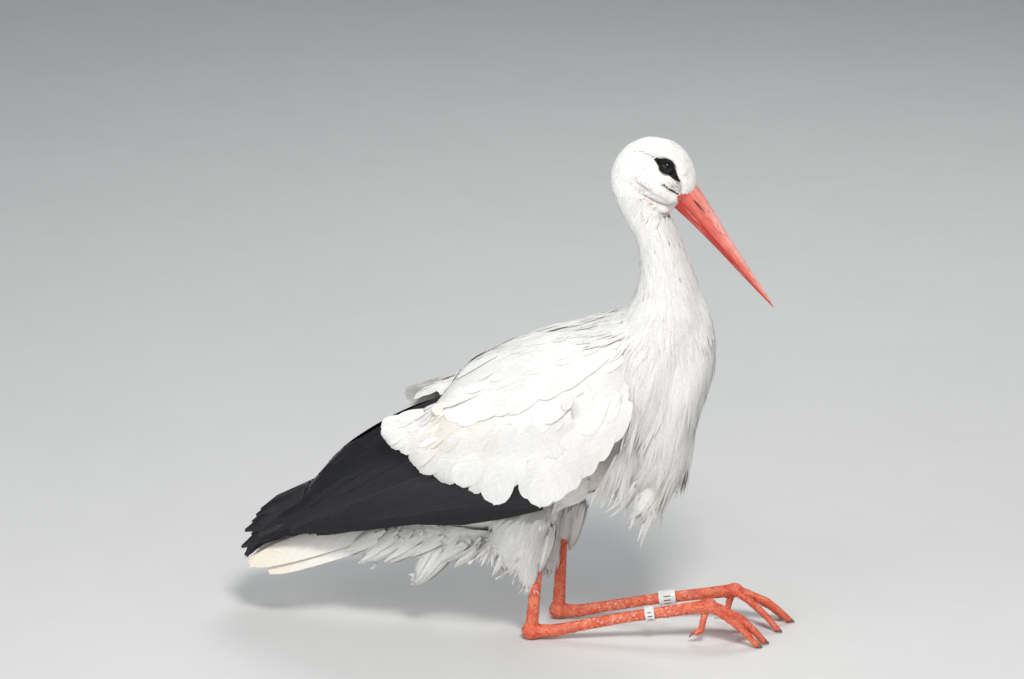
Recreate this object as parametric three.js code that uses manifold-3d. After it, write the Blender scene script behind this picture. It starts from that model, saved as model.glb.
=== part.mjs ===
// White stork (Ciconia ciconia), adult, resting on its hocks with the shins laid forward on the floor.
// Life size, in millimetres. +X is the way the bird faces, +Y its left, +Z up, and the floor is Z = 0.
// Every form is a loft of ovals or of bent ovals. Where layers of feathers lie on each other, the lower one
// is cut clear of the upper one by CLEARANCE.
import * as THREE from "three";
import { mergeVertices } from "three/addons/utils/BufferGeometryUtils.js";
import Module from "manifold-3d";

const wasm = await Module();
wasm.setup();

// ---------------------------------------------------------------- driving dimensions
const CLEARANCE = 0.4; // between neighbouring pieces
const BIG = 2000; // edge of a box that is larger than the bird

const BILL_LENGTH = 160; // base to tip, through the middle
const BILL_DEPTH = 34; // at the base
const BILL_WIDTH = 23;
const BILL_DIP = THREE.MathUtils.degToRad(50.7); // below the horizontal
const BILL_BASE = [160, 541]; // x and z of the middle of the bill's base
const GAPE_DROP = 0.16; // the gape lies this share of the depth below the middle

const EYE_RADIUS = 8.6;
const EYE_CENTRE = [138.5, 18.4, 581.5]; // of the left eye

const HOCK_RADII = [12.3, 10.1, 11.9];
const FOOT_RADII = [11.5, 10, 9.5]; // of the joint that the toes start from
const TARSUS_DEPTH = 15;
const TARSUS_WIDTH = 11.5;
const TIBIA_RADIUS = 7.4;
const TIBIA_TOP = 112; // height at which the tibia is well inside the thigh
const BAND_WALL = 1.2;

// Each leg: the place of the hock and of the joint where the toes begin, how far the thigh leans forward
// for its height, and the leg band's place along the shin and its length.
const LEGS = {
  right: { side: -1, hock: [-13, -33, 10], foot: [193, 0, 46], lean: 0, bandAt: 0.67, bandLength: 11 },
  left: { side: 1, hock: [6, 36, 10], foot: [214, 66, 41], lean: -0.04, bandAt: 0.62, bandLength: 20 },
};

// ---------------------------------------------------------------- solids
const point = (x, y, z) => new THREE.Vector3(x, y, z);
const blend = (a, b, t) => a + (b - a) * t;
const crossed = (a, b) => new THREE.Vector3().crossVectors(a, b);

const joined = (solids) => solids.reduce((all, one) => all.add(one));
const cut = (solid, cutters) => cutters.reduce((rest, one) => rest.subtract(one), solid);
const largest = (solid) => solid.decompose().sort((p, q) => q.volume() - p.volume())[0];

// A solid from its corners and triangles, whichever way round they are, with every face moved out by `extra`.
function fromTriangles(corners, triangles, extra = 0) {
  const volumeAt = ([p, q, r]) => crossed(corners[q], corners[r]).dot(corners[p]);
  const volume = triangles.reduce((sum, triangle) => sum + volumeAt(triangle), 0);
  const outward = volume < 0 ? triangles.map(([p, q, r]) => [r, q, p]) : triangles;
  const moved = extra ? movedOut(corners, outward, extra) : corners;
  const mesh = {
    numProp: 3,
    vertProperties: new Float32Array(moved.flatMap((corner) => corner.toArray())),
    triVerts: new Uint32Array(outward.flat()),
  };
  return new wasm.Manifold(new wasm.Mesh(mesh));
}

// The corners moved along their own normals, and further where the faces meet sharply.
function movedOut(corners, triangles, extra) {
  const SHARPEST = 0.2; // limits how far a very sharp corner moves
  const meetings = triangles.flatMap(([p, q, r]) => {
    const face = crossed(corners[q].clone().sub(corners[p]), corners[r].clone().sub(corners[p])).normalize();
    const at = (i, next, last) => {
      const angle = corners[next].clone().sub(corners[i]).angleTo(corners[last].clone().sub(corners[i]));
      return { i, face, angle };
    };
    return [at(p, q, r), at(q, r, p), at(r, p, q)];
  });
  const normals = corners.map(() => point(0, 0, 0));
  meetings.forEach(({ i, face, angle }) => normals[i].addScaledVector(face, angle));
  normals.forEach((normal) => normal.normalize());
  const squareness = corners.map(() => 1);
  meetings.forEach(({ i, face }) => {
    squareness[i] = Math.min(squareness[i], normals[i].dot(face));
  });
  return corners.map((corner, i) =>
    corner.clone().addScaledVector(normals[i], extra / Math.max(squareness[i], SHARPEST)),
  );
}

// A three.js geometry as a solid.
function solidOf(geometry) {
  const bare = geometry.clone();
  bare.deleteAttribute("normal");
  bare.deleteAttribute("uv");
  const merged = mergeVertices(bare, 1e-3);
  const places = merged.attributes.position;
  const order = merged.index.array;
  const cornerAt = (_, i) => point(0, 0, 0).fromBufferAttribute(places, i);
  const corners = Array.from({ length: places.count }, cornerAt);
  const triangles = Array.from({ length: order.length / 3 }, (_, i) => [...order.slice(3 * i, 3 * i + 3)]);
  return fromTriangles(corners, triangles);
}

function ellipsoid(centre, radii, extra = 0, widthSegments = 8, heightSegments = 6) {
  const ball = new THREE.SphereGeometry(1, widthSegments, heightSegments);
  ball.scale(...radii.map((radius) => radius + extra)).translate(centre.x, centre.y, centre.z);
  return solidOf(ball);
}

// All that lies on the side of a plane that its normal points to, beginning `gap` past it.
function beyond({ at, normal }, gap = CLEARANCE / 2) {
  const box = new THREE.BoxGeometry(BIG, BIG, BIG).translate(0, 0, BIG / 2 + gap);
  box.applyQuaternion(new THREE.Quaternion().setFromUnitVectors(point(0, 0, 1), normal.clone().normalize()));
  return solidOf(box.translate(at.x, at.y, at.z));
}
const reversed = ({ at, normal }) => ({ at, normal: normal.clone().negate() });
const aboveFloor = beyond({ at: point(0, 0, 0), normal: point(0, 0, 1) }, 0);

// ---------------------------------------------------------------- lofts
// A station is an oval from `a` to `b`, half as thick as `side` is long, with its middle bent by `arch`.
const station = (a, b, side, arch = point(0, 0, 0)) => ({ a, b, side, arch });

// The ring of points of a station. `fullness` 2 is an ellipse, and more is boxier.
function ring({ a, b, side, arch }, around, fullness) {
  const middle = a.clone().add(b).multiplyScalar(0.5);
  const half = a.clone().sub(b).multiplyScalar(0.5);
  const filled = (value) => Math.sign(value) * Math.abs(value) ** (2 / fullness);
  return Array.from({ length: around }, (_, k) => {
    const angle = (2 * Math.PI * k) / around;
    const along = filled(Math.cos(angle));
    const out = filled(Math.sin(angle));
    return middle
      .clone()
      .addScaledVector(half, along)
      .addScaledVector(side, out)
      .addScaledVector(arch, 1 - along * along);
  });
}

// A closed solid through the stations, with its skin moved out by `extra`.
function loft(stations, { around = 12, fullness = 2, extra = 0 } = {}) {
  const rings = stations.map((one) => ring(one, around, fullness));
  const ends = [stations[0], stations.at(-1)].map(({ a, b, arch }) =>
    a.clone().add(b).multiplyScalar(0.5).add(arch),
  );
  const last = rings.length - 1;
  const firstEnd = rings.length * around;
  const triangles = [];
  for (let k = 0; k < around; k++) {
    const next = (k + 1) % around;
    for (let i = 0; i < last; i++) {
      const [here, ahead] = [i * around, (i + 1) * around];
      triangles.push([here + k, here + next, ahead + next]);
      triangles.push([here + k, ahead + next, ahead + k]);
    }
    triangles.push([firstEnd, next, k]);
    triangles.push([firstEnd + 1, last * around + k, last * around + next]);
  }
  return fromTriangles([...rings.flat(), ...ends], triangles, extra);
}

// A feather: a thin blade from root to tip, as wide as `width`, with a rounded or pointed end.
// `up` is the way its upper side faces, and `sag` bends its middle to that side.
function vane(root, tip, width, thickness, up, { sag = 0, pointed = 0.35, fine = false, extra = 0 } = {}) {
  const along = tip.clone().sub(root);
  const edge = crossed(up, along).setLength(width / 2);
  const face = crossed(along, edge).normalize();
  const profile = fine
    ? [[0, 0.6], [0.4, 1], [0.8, blend(1, 0.75, pointed)], [1, blend(0.4, 0.08, pointed)]]
    : [[0, 0.7], [0.65, blend(1.05, 0.9, pointed)], [1, blend(0.5, 0.08, pointed)]];
  const stations = profile.map(([t, wide]) => {
    const centre = root.clone().addScaledVector(along, t).addScaledVector(face, sag * 4 * t * (1 - t));
    const half = edge.clone().multiplyScalar(wide);
    const thick = face.clone().multiplyScalar((thickness / 2) * blend(1, 0.4, t));
    return station(centre.clone().add(half), centre.clone().sub(half), thick);
  });
  return loft(stations, { around: 4, extra });
}

// A round limb through [centre, radius in the upright plane, radius across] rows.
function limb(rows, around, extra = 0) {
  const stations = rows.map(([centre, deep, wide], i) => {
    const from = rows[Math.max(i - 1, 0)][0];
    const to = rows[Math.min(i + 1, rows.length - 1)][0];
    const along = to.clone().sub(from).normalize();
    const flat = crossed(along, point(0, 0, 1));
    const sideways = flat.length() < 0.3 ? point(0, 1, 0) : flat.normalize();
    const up = crossed(sideways, along).normalize();
    const [top, bottom] = [deep, -deep].map((reach) => centre.clone().addScaledVector(up, reach));
    return station(top, bottom, sideways.multiplyScalar(wide));
  });
  return loft(stations, { around, extra });
}

// ---------------------------------------------------------------- body: one form from rump to bill
// Each row: name, x and z of the back, x and z of the belly, half-width.
const BODY = [
  ["rump", -214, 158, -226, 122, 20],
  ["croup", -176, 198, -188, 108, 34],
  ["hind back", -118, 268, -112, 112, 54],
  ["back", -60, 334, -34, 130, 74],
  ["loin", 10, 369, 42, 166, 84],
  ["shoulder", 58, 389, 106, 214, 80],
  ["neck root", 91, 409, 152, 272, 64],
  ["low neck", 102, 430, 178, 336, 47],
  ["fore neck", 106, 453, 187, 390, 37],
  ["mid neck", 104, 474, 175, 436, 31],
  ["high neck", 98, 495, 160, 478, 28],
  ["throat", 84, 518, 146, 508, 25.5],
  ["nape", 73, 541, 138, 522, 25.5],
  ["hind crown", 69.5, 563, 136, 523, 26],
  ["back of head", 75, 582, 135.5, 524, 26.5],
  ["crown", 88, 600, 136, 524.5, 27],
  ["top of head", 112, 612, 137, 525, 27],
  ["brow", 143, 608, 139, 525.5, 25.5],
  ["forehead", 160, 594, 142, 526.5, 21.5],
  ["lores", 170, 573, 145, 527.5, 16.5],
  ["bill feathering", 173, 554.5, 147.5, 528.5, 12.5],
];
const bodyStations = BODY.map(([, backX, backZ, bellyX, bellyZ, halfWidth]) =>
  station(point(backX, 0, backZ), point(bellyX, 0, bellyZ), point(0, halfWidth, 0)),
);
const bodyForm = (extra) => loft(bodyStations, { around: 14, fullness: 2.2, extra });

// The plane that holds a named row of the body, with its normal towards the head.
function planeAt(name) {
  const [, backX, backZ, bellyX, bellyZ] = BODY.find((row) => row[0] === name);
  const normal = point(backZ - bellyZ, 0, bellyX - backX);
  return { at: point((backX + bellyX) / 2, 0, (backZ + bellyZ) / 2), normal };
}
const after = (name) => beyond(planeAt(name));
const before = (name) => beyond(reversed(planeAt(name)));

// ---------------------------------------------------------------- bill: two mandibles parted at the gape
// Share of the bill's length, of its depth and of its width, and how far the oval's middle is lifted.
const BILL_TAPER = [
  [0, 1.1, 1, -1.6],
  [0.2, 0.97, 0.84, -1.2],
  [0.45, 0.76, 0.66, -0.2],
  [0.68, 0.52, 0.47, -0.5],
  [0.87, 0.27, 0.27, -0.4],
  [1, 0.05, 0.06, 0],
];
const billAxis = point(Math.cos(BILL_DIP), 0, -Math.sin(BILL_DIP));
const billUp = point(Math.sin(BILL_DIP), 0, Math.cos(BILL_DIP)); // towards the culmen
const billBase = point(BILL_BASE[0], 0, BILL_BASE[1]);

function billParts() {
  const stations = BILL_TAPER.map(([along, deep, wide, lift]) => {
    const centre = billBase.clone().addScaledVector(billAxis, along * BILL_LENGTH);
    centre.addScaledVector(billUp, lift);
    const half = billUp.clone().multiplyScalar((BILL_DEPTH / 2) * deep);
    return station(centre.clone().add(half), centre.clone().sub(half), point(0, (BILL_WIDTH / 2) * wide, 0));
  });
  const whole = loft(stations, { around: 12, fullness: 1.9 });
  const gapeStart = billBase.clone().addScaledVector(billUp, -BILL_DEPTH * GAPE_DROP);
  const gapeLine = billBase.clone().addScaledVector(billAxis, BILL_LENGTH).sub(gapeStart);
  const gape = { at: gapeStart, normal: point(-gapeLine.z, 0, gapeLine.x) };
  return { upper: whole.intersect(beyond(gape)), lower: whole.intersect(beyond(reversed(gape))) };
}

// ---------------------------------------------------------------- wings, folded
// Each row of a shell: x, then height and distance from the middle plane of the top edge and of the bottom
// edge, then how far the shell bulges outwards and half its thickness.
const COVERTS = [
  [114, 330, 60, 274, 74, 7, 4],
  [98, 344, 64, 258, 88, 12, 8],
  [48, 344, 64, 220, 97, 15, 9],
  [0, 337, 66, 214, 101, 16, 9],
  [-48, 325, 64, 212, 100, 15, 8],
  [-92, 310, 58, 214, 95, 13, 7],
  [-130, 296, 50, 220, 86, 11, 6],
  [-164, 280, 46, 230, 76, 8, 5],
  [-192, 258, 52, 243, 68, 3, 2.5],
];
const SCAPULARS = [
  [102, 404, 10, 346, 76, 10, 4],
  [84, 399, 8, 336, 86, 13, 8],
  [34, 382, 5, 312, 104, 16, 9],
  [-10, 369, 4, 297, 109, 16, 9],
  [-48, 354, 4, 284, 107, 14, 8],
  [-82, 336, 4, 274, 98, 11, 7],
  [-106, 318, 6, 276, 86, 7, 5],
  [-122, 304, 22, 286, 66, 2, 2],
];
const FLIGHT_FEATHERS = [
  [14, 226, 94, 188, 98, 1, 2],
  [-30, 262, 78, 174, 98, 5, 4],
  [-80, 278, 44, 160, 92, 14, 6],
  [-125, 286, 3, 154, 86, 18, 7],
  [-168, 263, 2.5, 150, 80, 17, 7],
  [-206, 236, 2.5, 144, 71, 15, 6],
  [-246, 213, 2.5, 135, 61, 12, 5],
  [-268, 188, 2.5, 130, 56, 10, 4.5],
  [-292, 158, 2.5, 124, 50, 7, 4],
  [-322, 140, 3, 110, 42, 5, 3.5],
  [-345, 122, 4, 98, 34, 3, 3],
];

function shell(rows, side, extra) {
  const stations = rows.map(([x, topZ, topY, bottomZ, bottomY, bulge, thickness]) => {
    const [top, bottom] = [point(x, side * topY, topZ), point(x, side * bottomY, bottomZ)];
    const outward = point(0, side * (topZ - bottomZ), bottomY - topY).normalize();
    const thick = outward.clone().multiplyScalar(thickness);
    return station(top, bottom, thick, outward.multiplyScalar(bulge));
  });
  return loft(stations, { around: 8, extra });
}

// The free, rounded tips of the lowest row of white wing coverts: tip's x, z, distance out, and width.
const COVERT_TIPS = [
  [60, 214, 100, 46],
  [10, 193, 104, 56],
  [-44, 195, 103, 46],
  [-92, 199, 99, 36],
  [-134, 208, 91, 34],
  [-170, 226, 82, 30],
];
const COVERT_ROOT = [16, -2, 62]; // from such a tip: ahead, out and up

function covertsForm(side, extra) {
  const [ahead, out, up] = COVERT_ROOT;
  const tips = COVERT_TIPS.map(([x, z, y, width]) => {
    const root = point(x + ahead, side * (y + out), z + up);
    return vane(root, point(x, side * y, z), width, 7, point(0, side, 0.2), { pointed: 0, extra });
  });
  return joined([shell(COVERTS, side, extra), ...tips]);
}

// The long scapulars end in broad lobes over the wing: tip's x, z, distance out, width and the root's x.
const SCAPULAR_TIPS = [
  [-122, 286, 86, 36, -56],
  [-106, 266, 99, 36, -36],
  [-64, 274, 108, 36, 6],
  [-20, 283, 112, 38, 50],
];
const SCAPULAR_ROOT_IN = 8; // how much nearer the back a lobe's root lies than its tip
const SCAPULAR_ROOT_UP = 38;

function scapularsForm(side, extra) {
  const lobes = SCAPULAR_TIPS.map(([x, z, y, width, rootX]) => {
    const root = point(rootX, side * (y - SCAPULAR_ROOT_IN), z + SCAPULAR_ROOT_UP);
    return vane(root, point(x, side * y, z), width, 8, point(0, side, 0.5), { pointed: 0.1, extra });
  });
  return joined([shell(SCAPULARS, side, extra), ...lobes]);
}

// The wing's point: the longest primaries, from the lowest up. Tip's x, z and distance out, and width.
const PRIMARY_TIPS = [
  [-367, 60, 24, 22],
  [-370, 82, 22, 26],
  [-367, 101, 16, 26],
  [-354, 120, 11, 26],
];

function flightForm(side, extra) {
  const primaries = PRIMARY_TIPS.map(([x, z, y, width], i) => {
    const root = point(-262 + 10 * i, side * (52 - 9 * i), 138 + 12 * i);
    const upper = point(-0.2, side * 0.8, 0.6);
    return vane(root, point(x, side * y, z), width, 4, upper, { pointed: 0.8, sag: 5, fine: true, extra });
  });
  return joined([shell(FLIGHT_FEATHERS, side, extra), ...primaries]);
}

// The tertials lie above this slanting plane, the secondaries below it, and both end at the primaries.
const TERTIALS_ABOVE = { at: point(14, 0, 236), normal: point(-124, 0, 359) };
const PRIMARIES_BEHIND = { at: point(-292, 0, 0), normal: point(-1, 0, 0) };

function flightParts(solid) {
  const front = solid.intersect(beyond(reversed(PRIMARIES_BEHIND)));
  return {
    tertials: largest(front.intersect(beyond(TERTIALS_ABOVE))),
    secondaries: largest(front.intersect(beyond(reversed(TERTIALS_ABOVE)))),
    primaries: largest(solid.intersect(beyond(PRIMARIES_BEHIND))),
  };
}

// ---------------------------------------------------------------- tail: a closed fan of rectrices
const RECTRICES = 6; // blades in the solid, each for two feathers
const TAIL_ROOT = [-200, 132]; // x and z
const TAIL_TIP = [-354, 57];
const TAIL_ROOT_HALF_WIDTH = 18;
const TAIL_HALF_WIDTH = 38;
const TAIL_ROUNDING = 24; // how much shorter the outer feathers are

function tailForm(extra) {
  const slope = (TAIL_TIP[1] - TAIL_ROOT[1]) / (TAIL_TIP[0] - TAIL_ROOT[0]);
  const blades = Array.from({ length: RECTRICES }, (_, i) => {
    const fan = (2 * i) / (RECTRICES - 1) - 1; // -1 at the right edge, 1 at the left
    const outer = Math.abs(fan);
    const short = TAIL_ROUNDING * outer ** 1.6;
    const tip = point(TAIL_TIP[0] + short, fan * TAIL_HALF_WIDTH, TAIL_TIP[1] + short * slope - outer);
    const root = point(TAIL_ROOT[0], fan * TAIL_ROOT_HALF_WIDTH, TAIL_ROOT[1] - 4 * outer);
    return vane(root, tip, 28, 6, point(0, fan * 0.25, 1), { pointed: 0.15, fine: true, extra });
  });
  return joined(blades);
}

// ---------------------------------------------------------------- loose feathers round the vent
// Each row: x, z of the top, z of the bottom, half-width.
const VENT = [
  [-52, 150, 112, 40],
  [-90, 158, 94, 56],
  [-130, 156, 90, 58],
  [-172, 146, 88, 54],
  [-212, 118, 84, 47],
  [-256, 99, 82, 36],
  [-290, 88, 80, 24],
];
// The lobes that hang from it on each side: tip's x, z, distance out, and width.
const VENT_LOBES = [
  [-154, 54, 30, 34],
  [-204, 76, 32, 26],
  [-246, 77, 28, 24],
];
const VENT_LOBE_ROOT = [34, 6, 40]; // from the tip: ahead, out and up

function ventForm(extra) {
  const [ahead, out, up] = VENT_LOBE_ROOT;
  const rows = VENT.map(([x, top, bottom, halfWidth]) =>
    station(point(x, 0, top), point(x, 0, bottom), point(0, halfWidth, 0)),
  );
  const lobes = [1, -1].flatMap((side) =>
    VENT_LOBES.map(([x, z, y, width]) => {
      const root = point(x + ahead, side * (y + out), z + up);
      return vane(root, point(x, side * y, z), width, 9, point(0, side, -0.3), { pointed: 0.4, extra });
    }),
  );
  return joined([loft(rows, { around: 10, fullness: 2.3, extra }), ...lobes]);
}

// ---------------------------------------------------------------- plumes that hang from neck and breast
// Each row: z, x of the front, x of the back, half-width.
const PLUMES = [
  [424, 183, 172, 6],
  [398, 191, 160, 22],
  [366, 197, 146, 34],
  [332, 195, 134, 44],
  [297, 184, 121, 50],
  [262, 174, 110, 50],
  [228, 169, 101, 44],
  [204, 160, 104, 34],
];
// The hanging points: tip's x, y and z, and width.
const PLUME_TIPS = [
  [163, 10, 197, 22],
  [152, -24, 178, 20],
  [140, -8, 167, 20],
  [128, -22, 160, 20],
  [126, 16, 166, 22],
  [111, -30, 180, 22],
  [108, 8, 184, 24],
  [148, 26, 180, 20],
  [101, -12, 196, 24],
];
const PLUME_ROOT_HEIGHT = 248;

function plumesForm(extra) {
  const rows = PLUMES.map(([z, front, rear, halfWidth]) =>
    station(point(front, 0, z), point(rear, 0, z), point(0, halfWidth, 0)),
  );
  const tips = PLUME_TIPS.map(([x, y, z, width]) => {
    const root = point(x + 8, y * 1.1, PLUME_ROOT_HEIGHT);
    return vane(root, point(x, y, z), width, 9, point(1, 0.4 * Math.sign(y), 0), { pointed: 0.9, extra });
  });
  return joined([loft(rows, { extra }), ...tips]);
}

// ---------------------------------------------------------------- legs
// The feathered thigh. Each row: x past the hock and z of the front, the same of the rear, distance out past
// the hock, half-width.
const THIGH = [
  [40, 176, -42, 172, 16, 27],
  [27, 152, -46, 140, 14, 26],
  [18, 122, -42, 110, 9, 21],
  [12, 94, -30, 84, 3, 15],
  [9, 74, -15, 66, 0, 10],
];
// Loose plumes behind the thigh: tip's x and z, distance out past the hock, and width.
const THIGH_PLUMES = [
  [-42, 50, 10, 16],
  [-74, 92, 16, 20],
];
const THIGH_PLUME_RISE = 48;

function thighForm({ side, hock, lean }, extra) {
  const [hockX, hockY] = hock;
  const rows = THIGH.map(([frontX, frontZ, rearX, rearZ, out, halfWidth]) => {
    const x = hockX + lean * frontZ;
    const y = hockY + side * out;
    return station(point(x + frontX, y, frontZ), point(x + rearX, y, rearZ), point(0, halfWidth, 0));
  });
  const plumes = THIGH_PLUMES.map(([x, z, out, width]) => {
    const y = hockY + side * out;
    const root = point(hockX + x * 0.35, y, z + THIGH_PLUME_RISE);
    return vane(root, point(hockX + x, y, z), width, 10, point(0, side, 0), { pointed: 0.6, extra });
  });
  return joined([loft(rows, { extra }), ...plumes]);
}

// Share of the shin's length, how far it sags below the straight line, and shares of its depth and width.
const TARSUS = [
  [0.02, 1, 0.6, 0.72],
  [0.12, 4, 0.54, 0.58],
  [0.26, 2.5, 0.48, 0.5],
  [0.5, 0, 0.47, 0.48],
  [0.84, 0, 0.5, 0.52],
  [1, 0, 0.6, 0.7],
];
// Share of the way up the tibia, and of its radius.
const TIBIA = [
  [0.02, 1.13],
  [0.3, 1],
  [0.6, 0.9],
  [1, 0.88],
];

function shinParts(name, leg) {
  const [hock, foot] = [point(...leg.hock), point(...leg.foot)];
  const tarsusRows = TARSUS.map(([t, sag, deep, wide]) => [
    hock.clone().lerp(foot, t).sub(point(0, 0, sag)),
    TARSUS_DEPTH * deep,
    TARSUS_WIDTH * wide,
  ]);
  const tibiaTop = point(hock.x + 9 + leg.lean * 100, hock.y, TIBIA_TOP);
  const tibiaRows = TIBIA.map(([t, thick]) => [
    hock.clone().lerp(tibiaTop, t),
    TIBIA_RADIUS * thick,
    TIBIA_RADIUS * thick * 0.96,
  ]);
  const joints = [ellipsoid(hock, HOCK_RADII, CLEARANCE), ellipsoid(foot, FOOT_RADII, CLEARANCE)];
  const tarsusGrown = limb(tarsusRows, 8, CLEARANCE);
  return {
    [`hock_${name}`]: ellipsoid(hock, HOCK_RADII).intersect(aboveFloor),
    [`tarsus_${name}`]: largest(cut(limb(tarsusRows, 8), joints).intersect(aboveFloor)),
    [`tibia_${name}`]: largest(cut(limb(tibiaRows, 8), [joints[0], tarsusGrown, thighForm(leg, CLEARANCE)])),
    [`foot_${name}`]: ellipsoid(foot, FOOT_RADII),
    blockers: [joints[1], tarsusGrown],
  };
}

// A plain ring round the shin.
function legBand(leg) {
  const [hock, foot] = [point(...leg.hock), point(...leg.foot)];
  const inner = TARSUS_DEPTH / 2 + CLEARANCE;
  const outer = inner + BAND_WALL;
  const half = leg.bandLength / 2;
  const profile = [[inner, -half], [outer, -half], [outer, half], [inner, half], [inner, -half]];
  const band = new THREE.LatheGeometry(profile.map(([r, along]) => new THREE.Vector2(r, along)), 14);
  const along = foot.clone().sub(hock).normalize();
  band.applyQuaternion(new THREE.Quaternion().setFromUnitVectors(point(0, 1, 0), along));
  const at = hock.clone().lerp(foot, leg.bandAt);
  return solidOf(band.translate(at.x, at.y, at.z));
}

// Each toe: `root`, `knuckle` and `tip` are how far ahead of the foot's joint and how far to the outer side.
// `drop` is how far the root lies below that joint, `bend` the knuckle's share of the joint's height, and
// `height` that of the middle of the toe's tip above the floor.
const TIP_ON_FLOOR = 2.4; // so low that the pad under the last joint is flat on the floor
const TOES = {
  middle: { root: [3, 0], knuckle: [38, 1], tip: [66, 3], drop: 1, bend: 0.66, height: TIP_ON_FLOOR },
  outer: { root: [3, 7], knuckle: [31, 10], tip: [58, 15], drop: 1, bend: 0.6, height: TIP_ON_FLOOR },
  inner: { root: [3, -7], knuckle: [28, -15], tip: [52, -27], drop: 1, bend: 0.6, height: TIP_ON_FLOOR },
  hind: { root: [-3, 1], knuckle: [-9, 3], tip: [-16, 4], drop: 6, bend: 0.3, height: 11.5 },
};
const TOE_RADIUS = { middle: 5.2, outer: 4.8, inner: 4.8, hind: 4.2 };
const CLAW_LENGTH = { middle: 9, outer: 8, inner: 8, hind: 7 };
const TOE_ARCH = 1.5; // how far a toe rises between its joints
const CLAW_TIP_HEIGHT = 0.6; // least height of the middle of a claw's point

function toeParts(name, leg, blockers) {
  const [hock, foot] = [point(...leg.hock), point(...leg.foot)];
  const ahead = foot.clone().sub(hock).setZ(0).normalize();
  const outward = point(-ahead.y, ahead.x, 0).multiplyScalar(leg.side);
  const place = ([forward, out], z) =>
    foot.clone().addScaledVector(ahead, forward).addScaledVector(outward, out).setZ(z);
  const between = (a, b) => a.clone().lerp(b, 0.5).add(point(0, 0, TOE_ARCH));
  const parts = {};
  const cutters = [...blockers];
  for (const [toe, { root, knuckle, tip, drop, bend, height }] of Object.entries(TOES)) {
    const radius = TOE_RADIUS[toe];
    const start = place(root, foot.z - drop);
    const middle = place(knuckle, foot.z * bend);
    const end = place(tip, height);
    const rows = [
      [start, radius * 1.1, radius * 1.1],
      [between(start, middle), radius, radius],
      [middle, radius * 1.05, radius * 1.05],
      [between(middle, end), radius * 0.92, radius * 0.92],
      [end, radius * 0.85, radius * 0.85],
    ];
    const pointing = end.clone().sub(middle).normalize();
    const clawTip = end.clone().addScaledVector(pointing, CLAW_LENGTH[toe]);
    clawTip.z = Math.max(end.z - CLAW_LENGTH[toe] * 0.6, CLAW_TIP_HEIGHT);
    const clawRows = [
      [end, radius * 0.66, radius * 0.62],
      [end.clone().lerp(clawTip, 0.6).add(point(0, 0, CLAW_TIP_HEIGHT)), radius * 0.5, radius * 0.46],
      [clawTip, radius * 0.16, radius * 0.16],
    ];
    parts[`toe_${toe}_${name}`] = largest(cut(limb(rows, 6), cutters).intersect(aboveFloor));
    cutters.push(limb(rows, 6, CLEARANCE));
    const free = cut(limb(clawRows, 5), cutters).intersect(beyond({ at: end, normal: pointing }, CLEARANCE));
    parts[`claw_${toe}_${name}`] = largest(free.intersect(aboveFloor));
  }
  return parts;
}

// ---------------------------------------------------------------- assembly
const surface = (name, color, roughness) =>
  new THREE.MeshStandardMaterial({ name, color, roughness, metalness: 0 });
const white = surface("white plumage", 0xf2f0ea, 0.85);
const black = surface("black flight feathers", 0x15151a, 0.5);
const horn = surface("bill", 0xd8432c, 0.45);
const skin = surface("leg skin", 0xd4563f, 0.6);
const nail = surface("claw", 0x6b4a3c, 0.5);
const wet = surface("eye", 0x1a0f0c, 0.12);
const plastic = surface("leg band", 0xdcdcd8, 0.4);

const bird = new THREE.Group();

function add(name, solid, material) {
  const made = solid.getMesh();
  const geometry = new THREE.BufferGeometry();
  geometry.setAttribute("position", new THREE.BufferAttribute(made.vertProperties, 3));
  geometry.setIndex(new THREE.BufferAttribute(made.triVerts, 1));
  geometry.computeVertexNormals();
  const mesh = new THREE.Mesh(geometry, material);
  mesh.name = name;
  bird.add(mesh);
}

const grown = (form) => ({ left: form(1, CLEARANCE), right: form(-1, CLEARANCE) });
const overScapulars = grown(scapularsForm);
const overCoverts = grown(covertsForm);
const overFlight = grown(flightForm);
const overWings = [overScapulars, overCoverts, overFlight].flatMap(({ left, right }) => [left, right]);
const overTail = tailForm(CLEARANCE);
const overBody = bodyForm(CLEARANCE);
const overVent = ventForm(CLEARANCE);
const EYE_SEGMENTS = [10, 6]; // round it and from pole to pole
function eyeBall(side, extra) {
  const [x, y, z] = EYE_CENTRE;
  return ellipsoid(point(x, side * y, z), Array(3).fill(EYE_RADIUS), extra, ...EYE_SEGMENTS);
}

const body = cut(bodyForm(0), overWings);
const eyeHollows = [eyeBall(1, CLEARANCE), eyeBall(-1, CLEARANCE)];
add("head", largest(cut(body.intersect(after("nape")), eyeHollows)), white);
add("neck_upper", largest(body.intersect(after("fore neck")).intersect(before("nape"))), white);
add("neck_lower", largest(body.intersect(after("neck root")).intersect(before("fore neck"))), white);
add("trunk", largest(body.intersect(before("neck root")).subtract(overTail)), white);
add("breast_plumes", largest(cut(plumesForm(0), [overBody, ...overWings])), white);
add("tail", largest(cut(tailForm(0), [overFlight.left, overFlight.right])), white);
add("vent_feathers", largest(cut(ventForm(0), [overBody, overTail, ...overWings])), white);

for (const [half, solid] of Object.entries(billParts())) {
  add(`bill_${half}`, largest(solid.subtract(overBody)), horn);
}

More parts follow.
